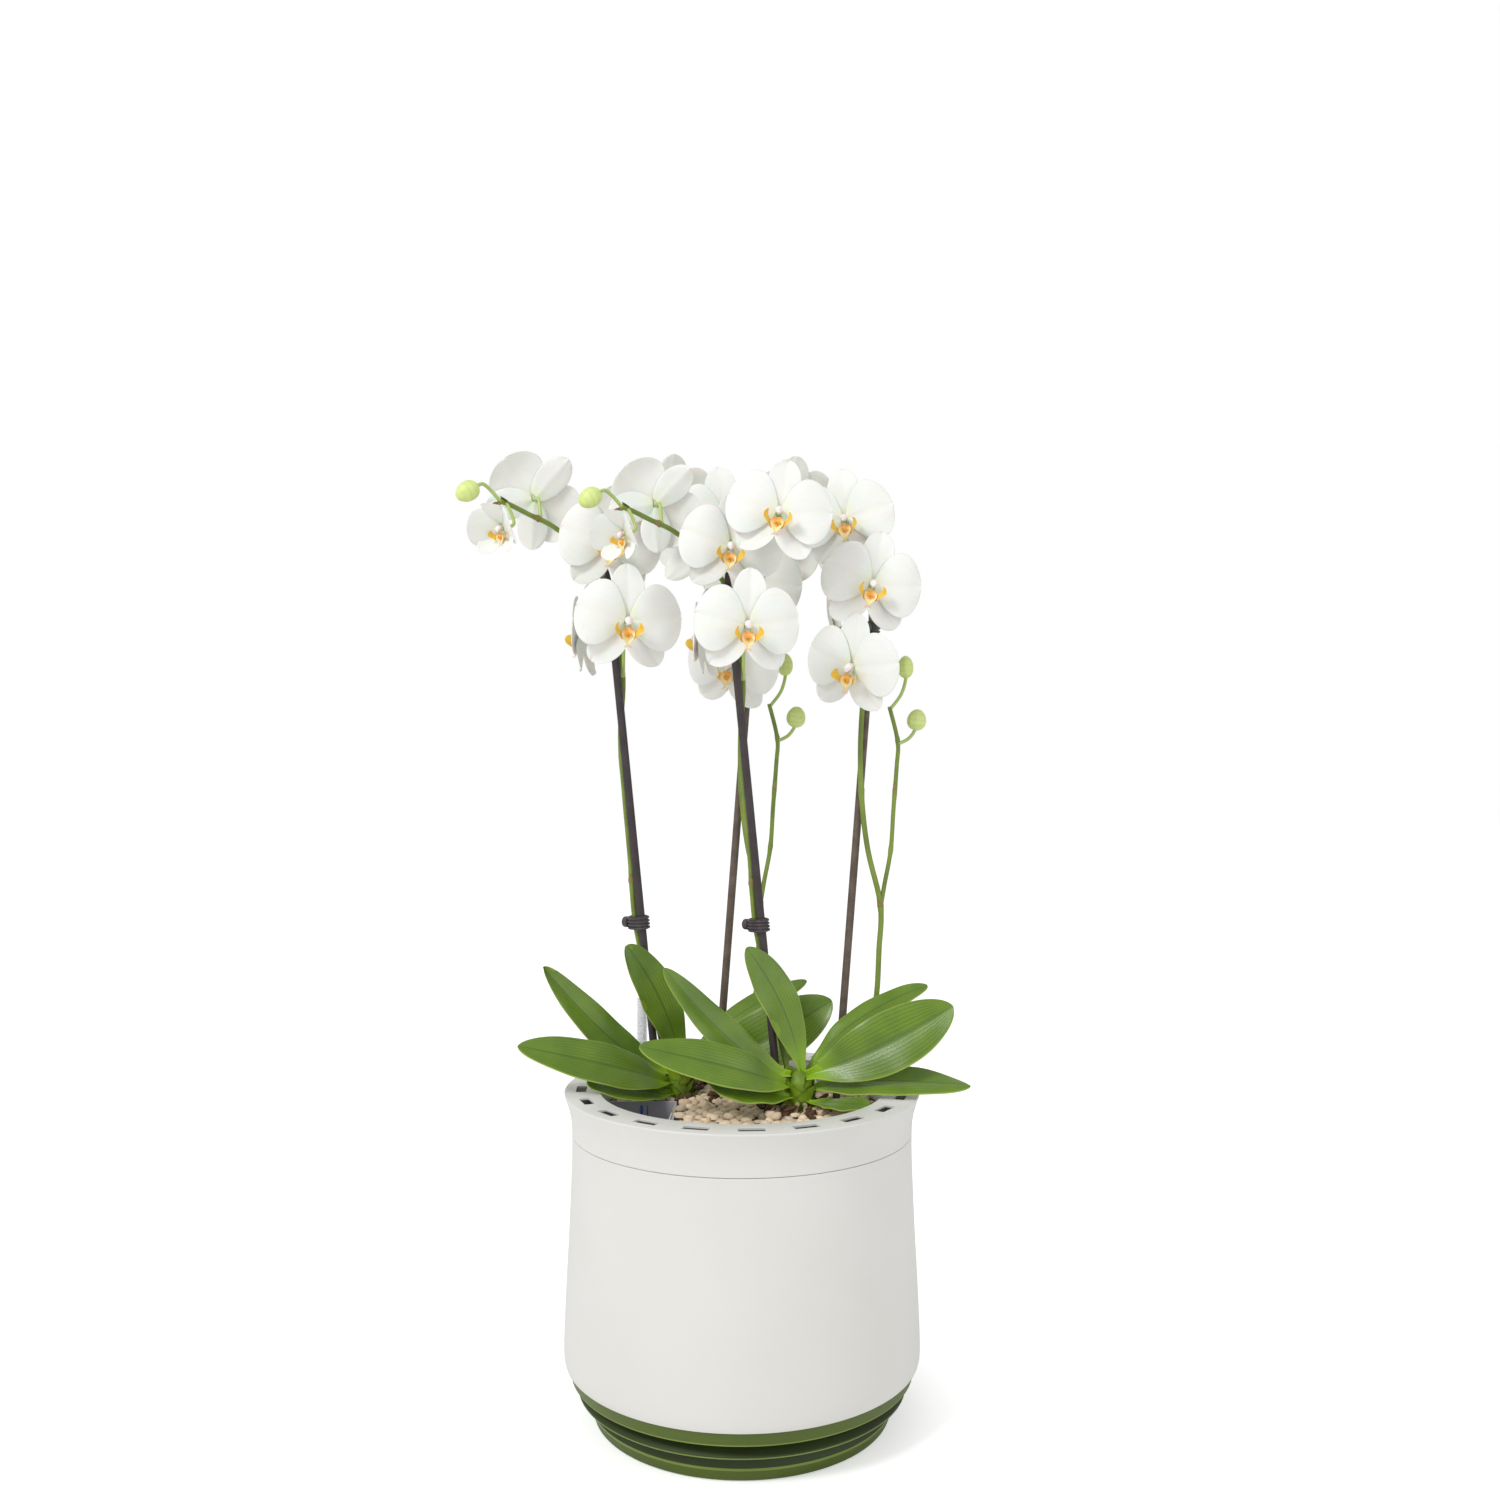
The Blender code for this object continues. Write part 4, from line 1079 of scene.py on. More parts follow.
@dataclass
class InnerPot:
    """The planter, the reservoir, the watering shaft with its level line, and the water gauge."""

    steps: int = 128
    planter_wall: float = 0.0025
    drain_count: int = 8
    drain_circle: float = 0.070
    drain_radius: float = 0.004
    shaft_radius: float = 0.1034
    shaft_wall: float = 0.0016
    level_lines: tuple[Point, ...] = ((0.0018, -0.0745, 0.0008), (0.0007, -0.0700, 0.0005))
    level_length: float = 0.090
    bore: float = 0.003
    gauge_rings: int = 7
    ring_spacing: float = 0.006

    def build_planter(self) -> None:
        """Turns the planter and pierces its floor."""
        low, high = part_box("inner_planter")
        radius = high.x
        wall = self.planter_wall
        profile = [
            (0.0, low.z + wall), (radius - wall, low.z + wall), (radius - wall, high.z), (radius, high.z),
            (radius, low.z), (0.0, low.z),
        ]
        bm = bmesh.new()
        turned(bm, eased(profile, 0.0008, 3), self.steps, closed=False)
        planter = piece("planter_moulding", bm, (LINER,), Slot.GREY, ("inner_planter",))
        cutters = bmesh.new()
        for index in range(self.drain_count):
            angle = math.tau * (index + 0.5) / self.drain_count
            bmesh.ops.create_cone(
                cutters, cap_ends=True, segments=20, radius1=self.drain_radius, radius2=self.drain_radius,
                depth=3 * wall, matrix=Matrix.Translation(polar(self.drain_circle, angle, low.z + wall / 2)),
            )
        cut(planter, cutters)

    def build_shaft(self) -> None:
        """Builds the well's thin wall round its plan, and the marks on its back wall."""
        low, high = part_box("watering_shaft")
        radius = self.shaft_radius
        side, back = high.x, high.y
        start = math.atan2(-math.sqrt(radius**2 - side**2), side)
        end = -math.pi - math.asin(back / radius)
        turns = 28
        plan = [polar(radius, start + (end - start) * i / turns, low.z) for i in range(turns + 1)]
        bm = bmesh.new()
        verts = [bm.verts.new(point) for point in (*plan, (side, back, low.z))]
        floor = bmesh.ops.contextual_create(bm, geom=verts)["faces"]
        raise_wall(bm, floor, set(), self.shaft_wall, low.z, high.z)
        shaft = piece("watering_shaft_moulding", bm, (GREY,), Slot.GREY, ("watering_shaft",))
        soften(shaft, 0.0003)
        marks = bmesh.new()
        face_y = back - self.shaft_wall
        for width, x, depth in self.level_lines:
            place = placed((x, face_y - depth / 2, high.z - 0.048), (width, depth, self.level_length))
            bmesh.ops.create_cube(marks, size=1.0, matrix=place)
        piece("watering_shaft_level_line", marks, (MARK,), Slot.GREY)
        rib = bmesh.new()
        arc = [
            Vector((side - 0.0030 - 0.010 * t, back - 0.020 - 0.052 * t,
                    high.z - 0.004 - 0.006 * math.sin(math.pi * t)))
            for t in (i / 14 for i in range(15))
        ]
        sweep(rib, arc, [0.0006] * 15, 8)
        piece("watering_shaft_float_line", rib, (LINER,), Slot.GREY)

    def build_gauge(self) -> None:
        """Turns the clear gauge tube, with raised rings that mark its levels."""
        low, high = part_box("water_gauge")
        middle = (low + high) / 2
        radius = (high.x - low.x) / 2
        outside = [(radius, low.z), (radius, high.z - 0.052)]
        for ring in range(self.gauge_rings):
            foot = high.z - 0.050 + ring * self.ring_spacing
            outside += [(radius, foot), (radius + 0.0003, foot + 0.0003), (radius, foot + 0.0006)]
        outside += [(radius, high.z - 0.0004), (radius - 0.0004, high.z)]
        inside = [(self.bore + 0.0002, high.z), (self.bore, high.z - 0.0006), (self.bore, low.z)]
        bm = bmesh.new()
        turned(bm, outside + inside, 40)
        bmesh.ops.translate(bm, verts=bm.verts, vec=(middle.x, middle.y, 0))
        piece("water_gauge_tube", bm, (CLEAR,), Slot.CLEAR, ("water_gauge",))

    def build(self) -> None:
        """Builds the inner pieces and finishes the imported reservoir."""
        self.build_planter()
        self.build_shaft()
        self.build_gauge()
        finish_packed("water_reservoir", BLACK)


def tumbled(draw: random.Random, lean: float, axis: str) -> Matrix:
    """Turn about the Z axis at random, after a random lean about another axis.

    Args:
        draw: Random draws.
        lean: The largest lean in radians.
        axis: The axis that it leans about.

    Returns:
        The turn.
    """
    heading = Matrix.Rotation(draw.uniform(0, math.tau), 4, "Z")
    return heading @ Matrix.Rotation(draw.uniform(-lean, lean), 4, axis)


@dataclass
class Bed:
    """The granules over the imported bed, and the bark chips round the crowns."""

    spacing: float = 0.0090
    row_share: float = 0.87
    jitter: float = 0.0013
    sizes: tuple[float, float] = (0.0082, 0.0104)
    loose_count: int = 70
    loose_lift: float = 0.0036
    chips_per_plant: int = 34
    chip_sides: tuple[tuple[float, float], ...] = ((0.007, 0.013), (0.004, 0.007), (0.002, 0.004))
    radius: float = 0.1015
    seed: int = 11
    lots: int = 3

    def clear_of(self, x: float, y: float, reach: float) -> bool:
        """Tells whether a place is free of the shaft, the gauge, the crowns and the stakes.

        Args:
            x: Place across.
            y: Place from front to back.
            reach: The granule's radius.

        Returns:
            True if it is free.
        """
        shaft_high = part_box("watering_shaft")[1]
        if x < shaft_high.x + 0.4 * reach and y < shaft_high.y + 0.4 * reach:
            return False
        gauge_low, gauge_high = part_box("water_gauge")
        if (Vector((x, y)) - ((gauge_low + gauge_high) / 2).xy).length < 0.004 + 0.6 * reach:
            return False
        return all((Vector((x, y)) - plant.origin.xy).length > 0.007 * plant.growth for plant in PLANTS)

    def chip(self, bm: Mesh, place: Matrix, draw: random.Random, tint: Colour) -> None:
        """Adds one rough lump of a few dozen faces.

        Args:
            bm: Mesh that takes it.
            place: Its place, turn and size.
            draw: Random draws.
            tint: Its own tone.
        """
        layer = bm.loops.layers.float_color[TONE_LAYER]
        known = set(bm.faces)
        cube = bmesh.ops.create_cube(bm, size=1.0)["verts"]
        edges = distinct(edge for vert in cube for edge in vert.link_edges)
        bmesh.ops.subdivide_edges(bm, edges=edges, cuts=1, use_grid_fill=True)
        verts = distinct(vert for face in fresh_faces(bm, known) for vert in face.verts)
        for vert in verts:
            ball = vert.co.normalized() * 0.5
            vert.co = vert.co.lerp(ball, 0.78) * draw.uniform(0.86, 1.12)
        bmesh.ops.transform(bm, matrix=place, verts=verts)
        for face in fresh_faces(bm, known):
            for loop in face.loops:
                loop[layer] = (*tint, 1.0)

    def build_granules(self) -> None:
        """Scatters the granules: a full layer, and a looser one on it."""
        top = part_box("substrate_bed")[1].z
        draw = random.Random(self.seed)
        meshes = [bmesh.new() for _ in range(self.lots)]
        for bm in meshes:
            bm.loops.layers.float_color.new(TONE_LAYER)
        pitch = self.spacing * self.row_share
        reach = self.radius
        places = []
        for row in range(int(2 * reach / pitch) + 1):
            y = -reach + row * self.spacing * self.row_share
            for column in range(int(2 * reach / self.spacing) + 2):
                places.append((-reach + (column + 0.5 * (row % 2)) * self.spacing, y, 0.0))
        for _ in range(self.loose_count):
            places.append((draw.uniform(-reach, reach), draw.uniform(-reach, reach), self.loose_lift))
        count = 0
        for x, y, up in places:
            x += draw.uniform(-self.jitter, self.jitter)
            y += draw.uniform(-self.jitter, self.jitter)
            size = draw.uniform(*self.sizes) * (0.85 if up else 1.0)
            if math.hypot(x, y) > self.radius - size * 0.35 or not self.clear_of(x, y, size / 2):
                continue
            crest = 0.003 * (math.hypot(x, y) / self.radius) ** 3
            spot = Vector((x, y, top - crest + up + draw.uniform(-0.0012, 0.0008)))
            turn = tumbled(draw, 0.7, "X")
            shape = Matrix.Diagonal((size, size * draw.uniform(0.8, 1.05), size * draw.uniform(0.55, 0.8), 1))
            warm = draw.uniform(0.0, 1.0)
            light = draw.uniform(0.66, 1.10)
            tint = (light, light * (0.98 - 0.07 * warm), light * (0.95 - 0.16 * warm))
            self.chip(meshes[count % self.lots], Matrix.Translation(spot) @ turn @ shape, draw, tint)
            count += 1
        for index, bm in enumerate(meshes):
            piece(f"granules_{index + 1}", bm, (GRANULE,), Slot.GRANULES, crease=70.0)
        LOG.info("%d granules", count)

    def build_bark(self) -> None:
        """Lays dark bark chips between the granules, mostly round the crowns."""
        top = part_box("substrate_bed")[1].z
        draw = random.Random(self.seed + 1)
        bm = bmesh.new()
        bm.loops.layers.float_color.new(TONE_LAYER)
        for plant in PLANTS:
            for _ in range(self.chips_per_plant):
                angle, away = draw.uniform(0, math.tau), draw.uniform(0.010, 0.034)
                x = plant.origin.x + away * math.cos(angle)
                y = plant.origin.y + away * math.sin(angle)
                if math.hypot(x, y) > self.radius - 0.006 or not self.clear_of(x, y, 0.004):
                    continue
                spot = Vector((x, y, top + draw.uniform(0.001, 0.0055)))
                turn = tumbled(draw, 0.8, "Y")
                sides = [draw.uniform(*span) for span in self.chip_sides]
                light = draw.uniform(0.6, 1.3)
                tint = (light, light * 0.95, light * 0.9)
                self.chip(bm, Matrix.Translation(spot) @ turn @ Matrix.Diagonal((*sides, 1)), draw, tint)
        piece("bark_chips", bm, (BARK,), Slot.GRANULES, crease=50.0)

    def build(self) -> None:
        """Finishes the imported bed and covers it."""
        finish_packed("substrate_bed", BED)
        self.build_granules()
        self.build_bark()


# --- Plants ----------------------------------------------------------------------------------------

CROWN_HEIGHT = 0.029
ROOT_DEPTH = 0.035
STEM_RADIUS = 0.0022
TWIG_RADIUS = 0.0017


@dataclass(frozen=True)
class PlantFrame:
    """A plant's own frame: its foot on the substrate, its turn in degrees and its growth."""

    name: str
    origin: Vector
    turn: float
    growth: float

    @classmethod
    def from_crown(cls, name: str, turn: float) -> "PlantFrame":
        """Reads a plant's place and growth from its packed crown.

        Args:
            name: The plant's name.
            turn: Its turn in degrees.

        Returns:
            Its frame.
        """
        low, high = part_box(f"{name}_crown")
        growth = (high.z - low.z) / (CROWN_HEIGHT + ROOT_DEPTH)
        middle = (low + high) / 2
        return cls(name, Vector((middle.x, middle.y, low.z + ROOT_DEPTH * growth)), turn, growth)

    def matrix(self) -> Matrix:
        """The turn, growth and place that take the plant's own frame to the pot's."""
        grown = Matrix.Diagonal((self.growth, self.growth, self.growth, 1.0))
        return Matrix.Translation(self.origin) @ Matrix.Rotation(math.radians(self.turn), 4, "Z") @ grown


PLANTS = (PlantFrame.from_crown("front", 0.0), PlantFrame.from_crown("rear", 4.9))


@dataclass(frozen=True)
class LeafForm:
    """One leaf: its base, a point half way along its midrib, its tip, width and roll in degrees."""

    name: str
    base: Point
    middle: Point
    tip: Point
    width: float
    roll: float
    fold: float = 0.20


LEAVES = (
    LeafForm(
        "leaf_low_left", (-0.0105, -0.006, 0.020), (-0.047, -0.031, 0.037), (-0.114, -0.038, 0.0545),
        0.034, 48, 0.22,
    ),
    LeafForm(
        "leaf_under_left", (-0.0080, -0.0085, 0.012), (-0.036, -0.027, 0.0200), (-0.066, -0.036, 0.0290),
        0.025, 32,
    ),
    LeafForm(
        "leaf_high_left", (-0.0110, -0.001, 0.027), (-0.049, -0.006, 0.051), (-0.098, -0.013, 0.1055),
        0.027, 58, 0.30,
    ),
    LeafForm(
        "leaf_upright", (0.001, 0.000, 0.0315), (-0.0140, -0.002, 0.078), (-0.039, -0.010, 0.1195),
        0.031, 72, 0.18,
    ),
    LeafForm(
        "leaf_high_right", (0.009, 0.006, 0.031), (0.043, 0.009, 0.064), (0.095, 0.016, 0.088),
        0.024, 30, 0.16,
    ),
    LeafForm(
        "leaf_broad_right", (0.0105, -0.005, 0.028), (0.057, -0.011, 0.0485), (0.1095, -0.014, 0.0785),
        0.044, 70, 0.22,
    ),
    LeafForm(
        "leaf_low_right", (0.0105, 0.000, 0.016), (0.052, -0.008, 0.023), (0.121, -0.021, 0.023),
        0.032, 25, 0.16,
    ),
    LeafForm(
        "leaf_under_right", (0.0080, -0.0090, 0.008), (0.028, -0.024, 0.0110), (0.048, -0.036, 0.0130),
        0.021, 15,
    ),
)

STAKES = {
    "stake_left": ((-0.0145, 0.0075, 0.0), (-0.053, -0.007, 0.390)),
    "stake_right": ((0.028, 0.0268, 0.0), (0.0565, 0.032, 0.365)),
}
SPIKE_LEFT = (
    (-0.0075, 0.0105, 0.022), (-0.014, 0.0145, 0.050), (-0.020, 0.0125, 0.080), (-0.028, 0.0085, 0.112),
    (-0.033, 0.0060, 0.140), (-0.036, 0.0046, 0.181), (-0.040, 0.0036, 0.226), (-0.043, 0.0029, 0.269),
    (-0.0412, 0.0030, 0.312), (-0.0465, 0.0012, 0.350), (-0.054, 0.0000, 0.380), (-0.068, -0.0050, 0.401),
    (-0.090, -0.013, 0.418), (-0.107, -0.024, 0.425), (-0.119, -0.032, 0.430), (-0.126, -0.040, 0.4315),
)
SPIKE_RIGHT = (
    (0.0085, 0.0085, 0.022), (0.022, 0.018, 0.031), (0.040, 0.025, 0.042), (0.054, 0.029, 0.060),
    (0.0585, 0.029, 0.080), (0.060, 0.027, 0.112), (0.061, 0.025, 0.146), (0.0515, 0.0235, 0.187),
    (0.047, 0.0235, 0.224), (0.046, 0.0245, 0.262), (0.048, 0.0255, 0.299), (0.0525, 0.026, 0.336),
    (0.054, 0.0275, 0.373), (0.048, 0.030, 0.395), (0.033, 0.031, 0.412), (0.017, 0.029, 0.426),
    (0.001, 0.025, 0.436), (-0.013, 0.014, 0.443), (-0.024, 0.000, 0.449),
)
SIDE_BRANCH = (
    (0.061, 0.025, 0.144), (0.064, 0.0265, 0.161), (0.069, 0.029, 0.187), (0.071, 0.029, 0.217),
    (0.0735, 0.029, 0.250), (0.0742, 0.029, 0.268), (0.068, 0.029, 0.294),
)
JOINTS_LEFT = (2.4, 4.6, 6.6, 9.2, 12.6, 14.4, 14.95)
JOINTS_RIGHT = (3.2, 6.0, 8.2, 11.0, 14.2, 16.2, 17.6)
BRANCH_JOINTS = (2.0, 3.4, 5.0)
BUDS_LEFT = (
    (
        (
            (-0.1255, -0.0396, 0.4313), (-0.1310, -0.0420, 0.4375), (-0.1360, -0.0460, 0.4415),
            (-0.1395, -0.0490, 0.4405),
        ),
        (-0.1465, -0.0520, 0.4355), 0.0070, 0.0088,
    ),
)
BUDS_RIGHT = (
    (
        ((0.0742, 0.029, 0.266), (0.082, 0.0275, 0.270), (0.087, 0.026, 0.277)),
        (0.088, 0.025, 0.284), 0.0072, 0.0080,
    ),
    (
        ((0.0685, 0.029, 0.292), (0.077, 0.032, 0.303), (0.081, 0.036, 0.315)),
        (0.081, 0.037, 0.324), 0.0060, 0.0086,
    ),
)


@dataclass(frozen=True)
class Bloom:
    """One flower's place: its middle, the azimuth, pitch and roll that it faces, size and stalk."""

    name: str
    middle: Point
    azimuth: float
    pitch: float
    roll: float
    size: float
    at: float
    opening: float = 1.0


BLOOMS_LEFT = (
    Bloom("flower_01", (-0.038, -0.048, 0.348), 8, -4, 2, 1.0, 8.0),
    Bloom("flower_02", (-0.069, 0.004, 0.343), -102, 0, 0, 0.92, 8.6),
    Bloom("flower_03", (-0.050, -0.022, 0.406), 4, -4, 6, 1.0, 10.4),
    Bloom("flower_04", (-0.123, -0.052, 0.411), -30, -18, 0, 0.66, 14.4, 0.35),
    Bloom("flower_05", (-0.105, 0.002, 0.440), -165, 6, -40, 0.95, 12.5),
)
BLOOMS_RIGHT = (
    Bloom("flower_06", (0.038, 0.001, 0.322), -30, -12, 12, 1.0, 10.8),
    Bloom("flower_07", (0.052, -0.004, 0.381), 4, 0, 14, 1.0, 11.9),
    Bloom("flower_08", (0.033, 0.008, 0.430), -10, 2, -6, 0.98, 13.9),
    Bloom("flower_09", (-0.016, -0.040, 0.427), 0, 5, 10, 1.0, 17.8),
    Bloom("flower_10", (0.016, 0.052, 0.420), 150, 0, 0, 1.0, 14.6),
    Bloom("flower_11", (-0.003, 0.030, 0.447), 180, 20, 0, 0.86, 16.0),
    Bloom("flower_12", (0.030, 0.050, 0.353), -100, -10, 0, 0.90, 10.1),
)
FLOWER_RADIUS = 0.036


def facing(bloom: Bloom) -> Matrix:
    """Turn that takes a flower's own +Z to the way it faces and its own +Y up."""
    aim = Matrix.Rotation(math.radians(bloom.azimuth), 4, "Z")
    tilt = Matrix.Rotation(math.radians(90 - bloom.pitch), 4, "X")
    return aim @ tilt @ Matrix.Rotation(math.radians(-bloom.roll), 4, "Z")


@dataclass
class Leaf:
    """A leaf blade with its keeled midrib, lightly waved margins and clasping base."""

    plant: PlantFrame
    form: LeafForm
    cells: tuple[int, int] = (34, 12)
    thickness: float = 0.0011
    widest: float = 0.58

    def half_width(self, t: float) -> float:
        """Half width at t along the blade, against its widest."""
        if t < self.widest:
            return 0.20 + 0.80 * math.sin(math.pi / 2 * max(t, 0.0) / self.widest)
        return max(0.02, (1.0 - ((t - self.widest) / (1.0 - self.widest)) ** 2) ** 0.575)

    def build(self) -> None:
        """Lays the blade out along its arc."""
        base, middle, tip = (Vector(p) for p in (self.form.base, self.form.middle, self.form.tip))
        bend = 2 * middle - (base + tip) / 2
        seed = sum(map(ord, self.plant.name + self.form.name)) * 0.37
        to_pot = self.plant.matrix()
        level_hint = Vector((0.0, -1.0, 0.0))

        def shape(u: float, side: float) -> Vector:
            """Point of the blade at u along and side across."""
            t = 1.07 * (1 - (1 - u) ** 1.25) - 0.07
            point = base * (1 - t) ** 2 + bend * (2 * t * (1 - t)) + tip * t**2
            along = ((bend - base) * (2 * (1 - t)) + (tip - bend) * (2 * t)).normalized()
            level = along.cross(Vector((0, 0, 1)))
            if level.dot(level_hint) < 0:
                level = -level
            level.normalize()
            upper = level.cross(along)
            if upper.z < 0 or (abs(upper.z) < 0.001 and upper.x < 0):
                upper = -upper
            angle = math.radians(self.form.roll)
            face = upper * math.cos(angle) + level * math.sin(angle)
            across = face.cross(along)
            half = self.half_width(t) * self.form.width / 2
            keel = math.sqrt(side**2 + 0.006) - 0.077
            closing = 0.55 * max(0.0, 1 - t / 0.22) ** 2
            wave = noise.noise(Vector((t * 3.1, side * 0.8 + seed, seed))) * 0.0022 * min(1.0, 3 * max(t, 0))
            ripple = 0.0005 * math.sin(t * 21 + seed) * side**2
            arch = -0.10 * half * side**2
            lift = keel * half * (self.form.fold + closing) + arch + (wave + ripple) * abs(side)
            return to_pot @ (point + across * (side * half * (1 - 0.25 * closing)) + face * lift)

        bm = bmesh.new()
        blade(bm, self.cells, shape, self.thickness, 0, 1)
        name = f"{self.plant.name}_{self.form.name}"
        piece(f"{name}_blade", bm, (LEAF, LEAF_UNDER), Slot.LEAF, (name,), 1, 75.0)


@dataclass(frozen=True)
class Lobe:
    """One petal or sepal: direction in degrees, reach, half width and how it bends.

    Lengths are against the flower's radius.
    """

    direction: float
    reach: float
    half_width: float
    neck: float
    widest: float
    lift: float
    arch: float
    cup: float


SEPALS = (
    Lobe(90, 1.12, 0.34, 0.42, 0.52, -0.03, 0.05, 0.10),
    Lobe(-50, 1.04, 0.34, 0.42, 0.50, -0.03, 0.02, 0.12),
    Lobe(-130, 1.04, 0.34, 0.42, 0.50, -0.03, 0.02, 0.12),
)
PETALS = (
    Lobe(12, 1.04, 0.66, 0.16, 0.54, 0.03, 0.10, -0.08),
    Lobe(168, 1.04, 0.66, 0.16, 0.54, 0.03, 0.10, -0.08),
)


COLUMN_STATIONS = (
    (0.03, -0.04, 0.055), (0.03, 0.05, 0.060), (0.035, 0.13, 0.068), (0.02, 0.21, 0.082),
    (-0.01, 0.265, 0.070), (-0.04, 0.285, 0.030),
)


@dataclass
class Flower:
    """A moth orchid flower: three sepals, two broad petals, a three-lobed lip and the column."""

    plant: PlantFrame
    bloom: Bloom
    thickness: float = 0.018

    def __post_init__(self) -> None:
        """Seeds the flower's own small differences."""
        self.draw = random.Random(sum(map(ord, self.plant.name + self.bloom.name)))

    def lobe(self, bm: Mesh, lobe: Lobe, cells: tuple[int, int]) -> None:
        """Adds a petal or a sepal.

        Args:
            bm: Mesh that takes it.
            lobe: Its form.
            cells: Cells along and across.
        """
        turn = Matrix.Rotation(math.radians(lobe.direction + self.draw.uniform(-3, 3)), 3, "Z")
        reach = lobe.reach * self.draw.uniform(0.97, 1.02)
        droop = self.draw.uniform(0.04, 0.13)
        seed = self.draw.uniform(0, 50)
        closing = 1 - self.bloom.opening

        def shape(u: float, side: float) -> Vector:
            """Point of the lobe at u along and side across."""
            t = 1 - (1 - u) ** 1.5
            if t < lobe.widest:
                width = lobe.neck + (1 - lobe.neck) * math.sin(math.pi / 2 * t / lobe.widest) ** 0.85
            else:
                width = max(0.03, (1 - ((t - lobe.widest) / (1 - lobe.widest)) ** 2) ** 0.52)
            half = lobe.half_width * width * (1 - 0.25 * closing)
            along = 0.05 + (reach - 0.05) * t
            rim = min(1.0, 1.6 * t) * abs(side)
            height = lobe.lift + lobe.arch * math.sin(math.pi * 0.85 * t) - droop * t**2.4
            ruffle = noise.noise(Vector((t * 2.6, side * 2.2, seed)))
            height += lobe.cup * half * side**2 + 0.035 * rim * ruffle
            height += 0.012 * math.sin(9 * t + seed) * side**2 * t - 0.02 * math.exp(-(side / 0.12) ** 2)
            if closing:
                bend = 1.15 * closing * (0.35 + 0.65 * t)
                along, height = along * math.cos(bend), height + along * math.sin(bend)
            notch = 1 - 0.02 * math.exp(-(side / 0.3) ** 2)
            return turn @ Vector((along * notch, side * half, height))

        blade(bm, cells, shape, self.thickness * self.draw.uniform(0.9, 1.1), 0)

    def lip(self, bm: Mesh) -> None:
        """Adds the lip: two raised side lobes and the pointed front lobe; its tendrils and callus come with
        the heart.
        """
        for sign in (-1, 1):

            def side_lobe(t: float, side: float, sign: int = sign) -> Vector:
                """Point of a side lobe, which curves out and up beside the column."""
                width = 0.085 * math.sin(math.pi * (0.14 + 0.74 * t)) ** 0.7
                swing = math.pi * (0.62 * t - 0.42)
                x = 0.07 + 0.17 * math.cos(swing) * min(1.0, 0.35 + 1.3 * t) + width * side * 0.55
                y = -0.33 + 0.31 * t**0.9 - width * side * 0.35
                z = 0.12 + 0.20 * math.sin(math.pi * 0.6 * t) + width * 0.9 * side
                return Vector((sign * x, y, z))

            blade(bm, (10, 6), side_lobe, 0.012, 1)

        def front_lobe(t: float, side: float) -> Vector:
            """Point of the front lobe."""
            width = 0.06 + 0.085 * math.sin(math.pi * min(1.0, t * 1.2)) ** 0.8 * (1 - 0.30 * t)
            width *= 1 - 0.70 * max(0.0, t - 0.74) / 0.26
            height = 0.13 + 0.15 * t - 0.09 * t**2 + 0.05 * side**2
            return Vector((width * side, -0.13 - 0.33 * t + 0.02 * side**2, height))

        blade(bm, (10, 6), front_lobe, 0.012, 2)

    def heart(self, bm: Mesh) -> None:
        """Adds the closed bodies at the flower's heart."""
        for sign in (-1, 1):
            tendril = [
                Vector((sign * (0.012 + 0.055 * math.sin(3.4 * t)), -0.445 - 0.05 * math.sin(2.6 * t),
                        0.19 + 0.08 * t))
                for t in (i / 9 for i in range(10))
            ]
            sweep(bm, tendril, [0.007 * (1 - 0.06 * i) for i in range(10)], 6, 2)
            blob(bm, placed((sign * 0.034, -0.235, 0.225), (0.030, 0.038, 0.040)), 6, 3)
        blob(bm, placed((0, -0.285, 0.200), (0.040, 0.032, 0.026)), 6, 3)
        spine = [Vector((0, y, z)) for y, z, _ in COLUMN_STATIONS]
        sweep(bm, spine, [radius for _, _, radius in COLUMN_STATIONS], 12, 4)
        blob(bm, placed((0, -0.035, 0.272), (0.046, 0.034, 0.030)), 7, 4)

    def build(self) -> None:
        """Builds the flower at its place."""
        bm = bmesh.new()
        for sepal in SEPALS:
            self.lobe(bm, sepal, (12, 8))
        for petal in PETALS:
            self.lobe(bm, petal, (14, 14))
        self.lip(bm)
        self.heart(bm)
        size = FLOWER_RADIUS * self.bloom.size
        place = (
            self.plant.matrix() @ Matrix.Translation(self.bloom.middle) @ facing(self.bloom)
            @ Matrix.Diagonal((size, size, size, 1.0))
        )
        bmesh.ops.transform(bm, matrix=place, verts=bm.verts)
        name = f"{self.plant.name}_{self.bloom.name}"
        finishes = (PETAL, LIP_YELLOW, LIP_WHITE, CALLUS, COLUMN)
        piece(f"{name}_bloom", bm, finishes, Slot.PETAL, (name,), 1, 75.0)


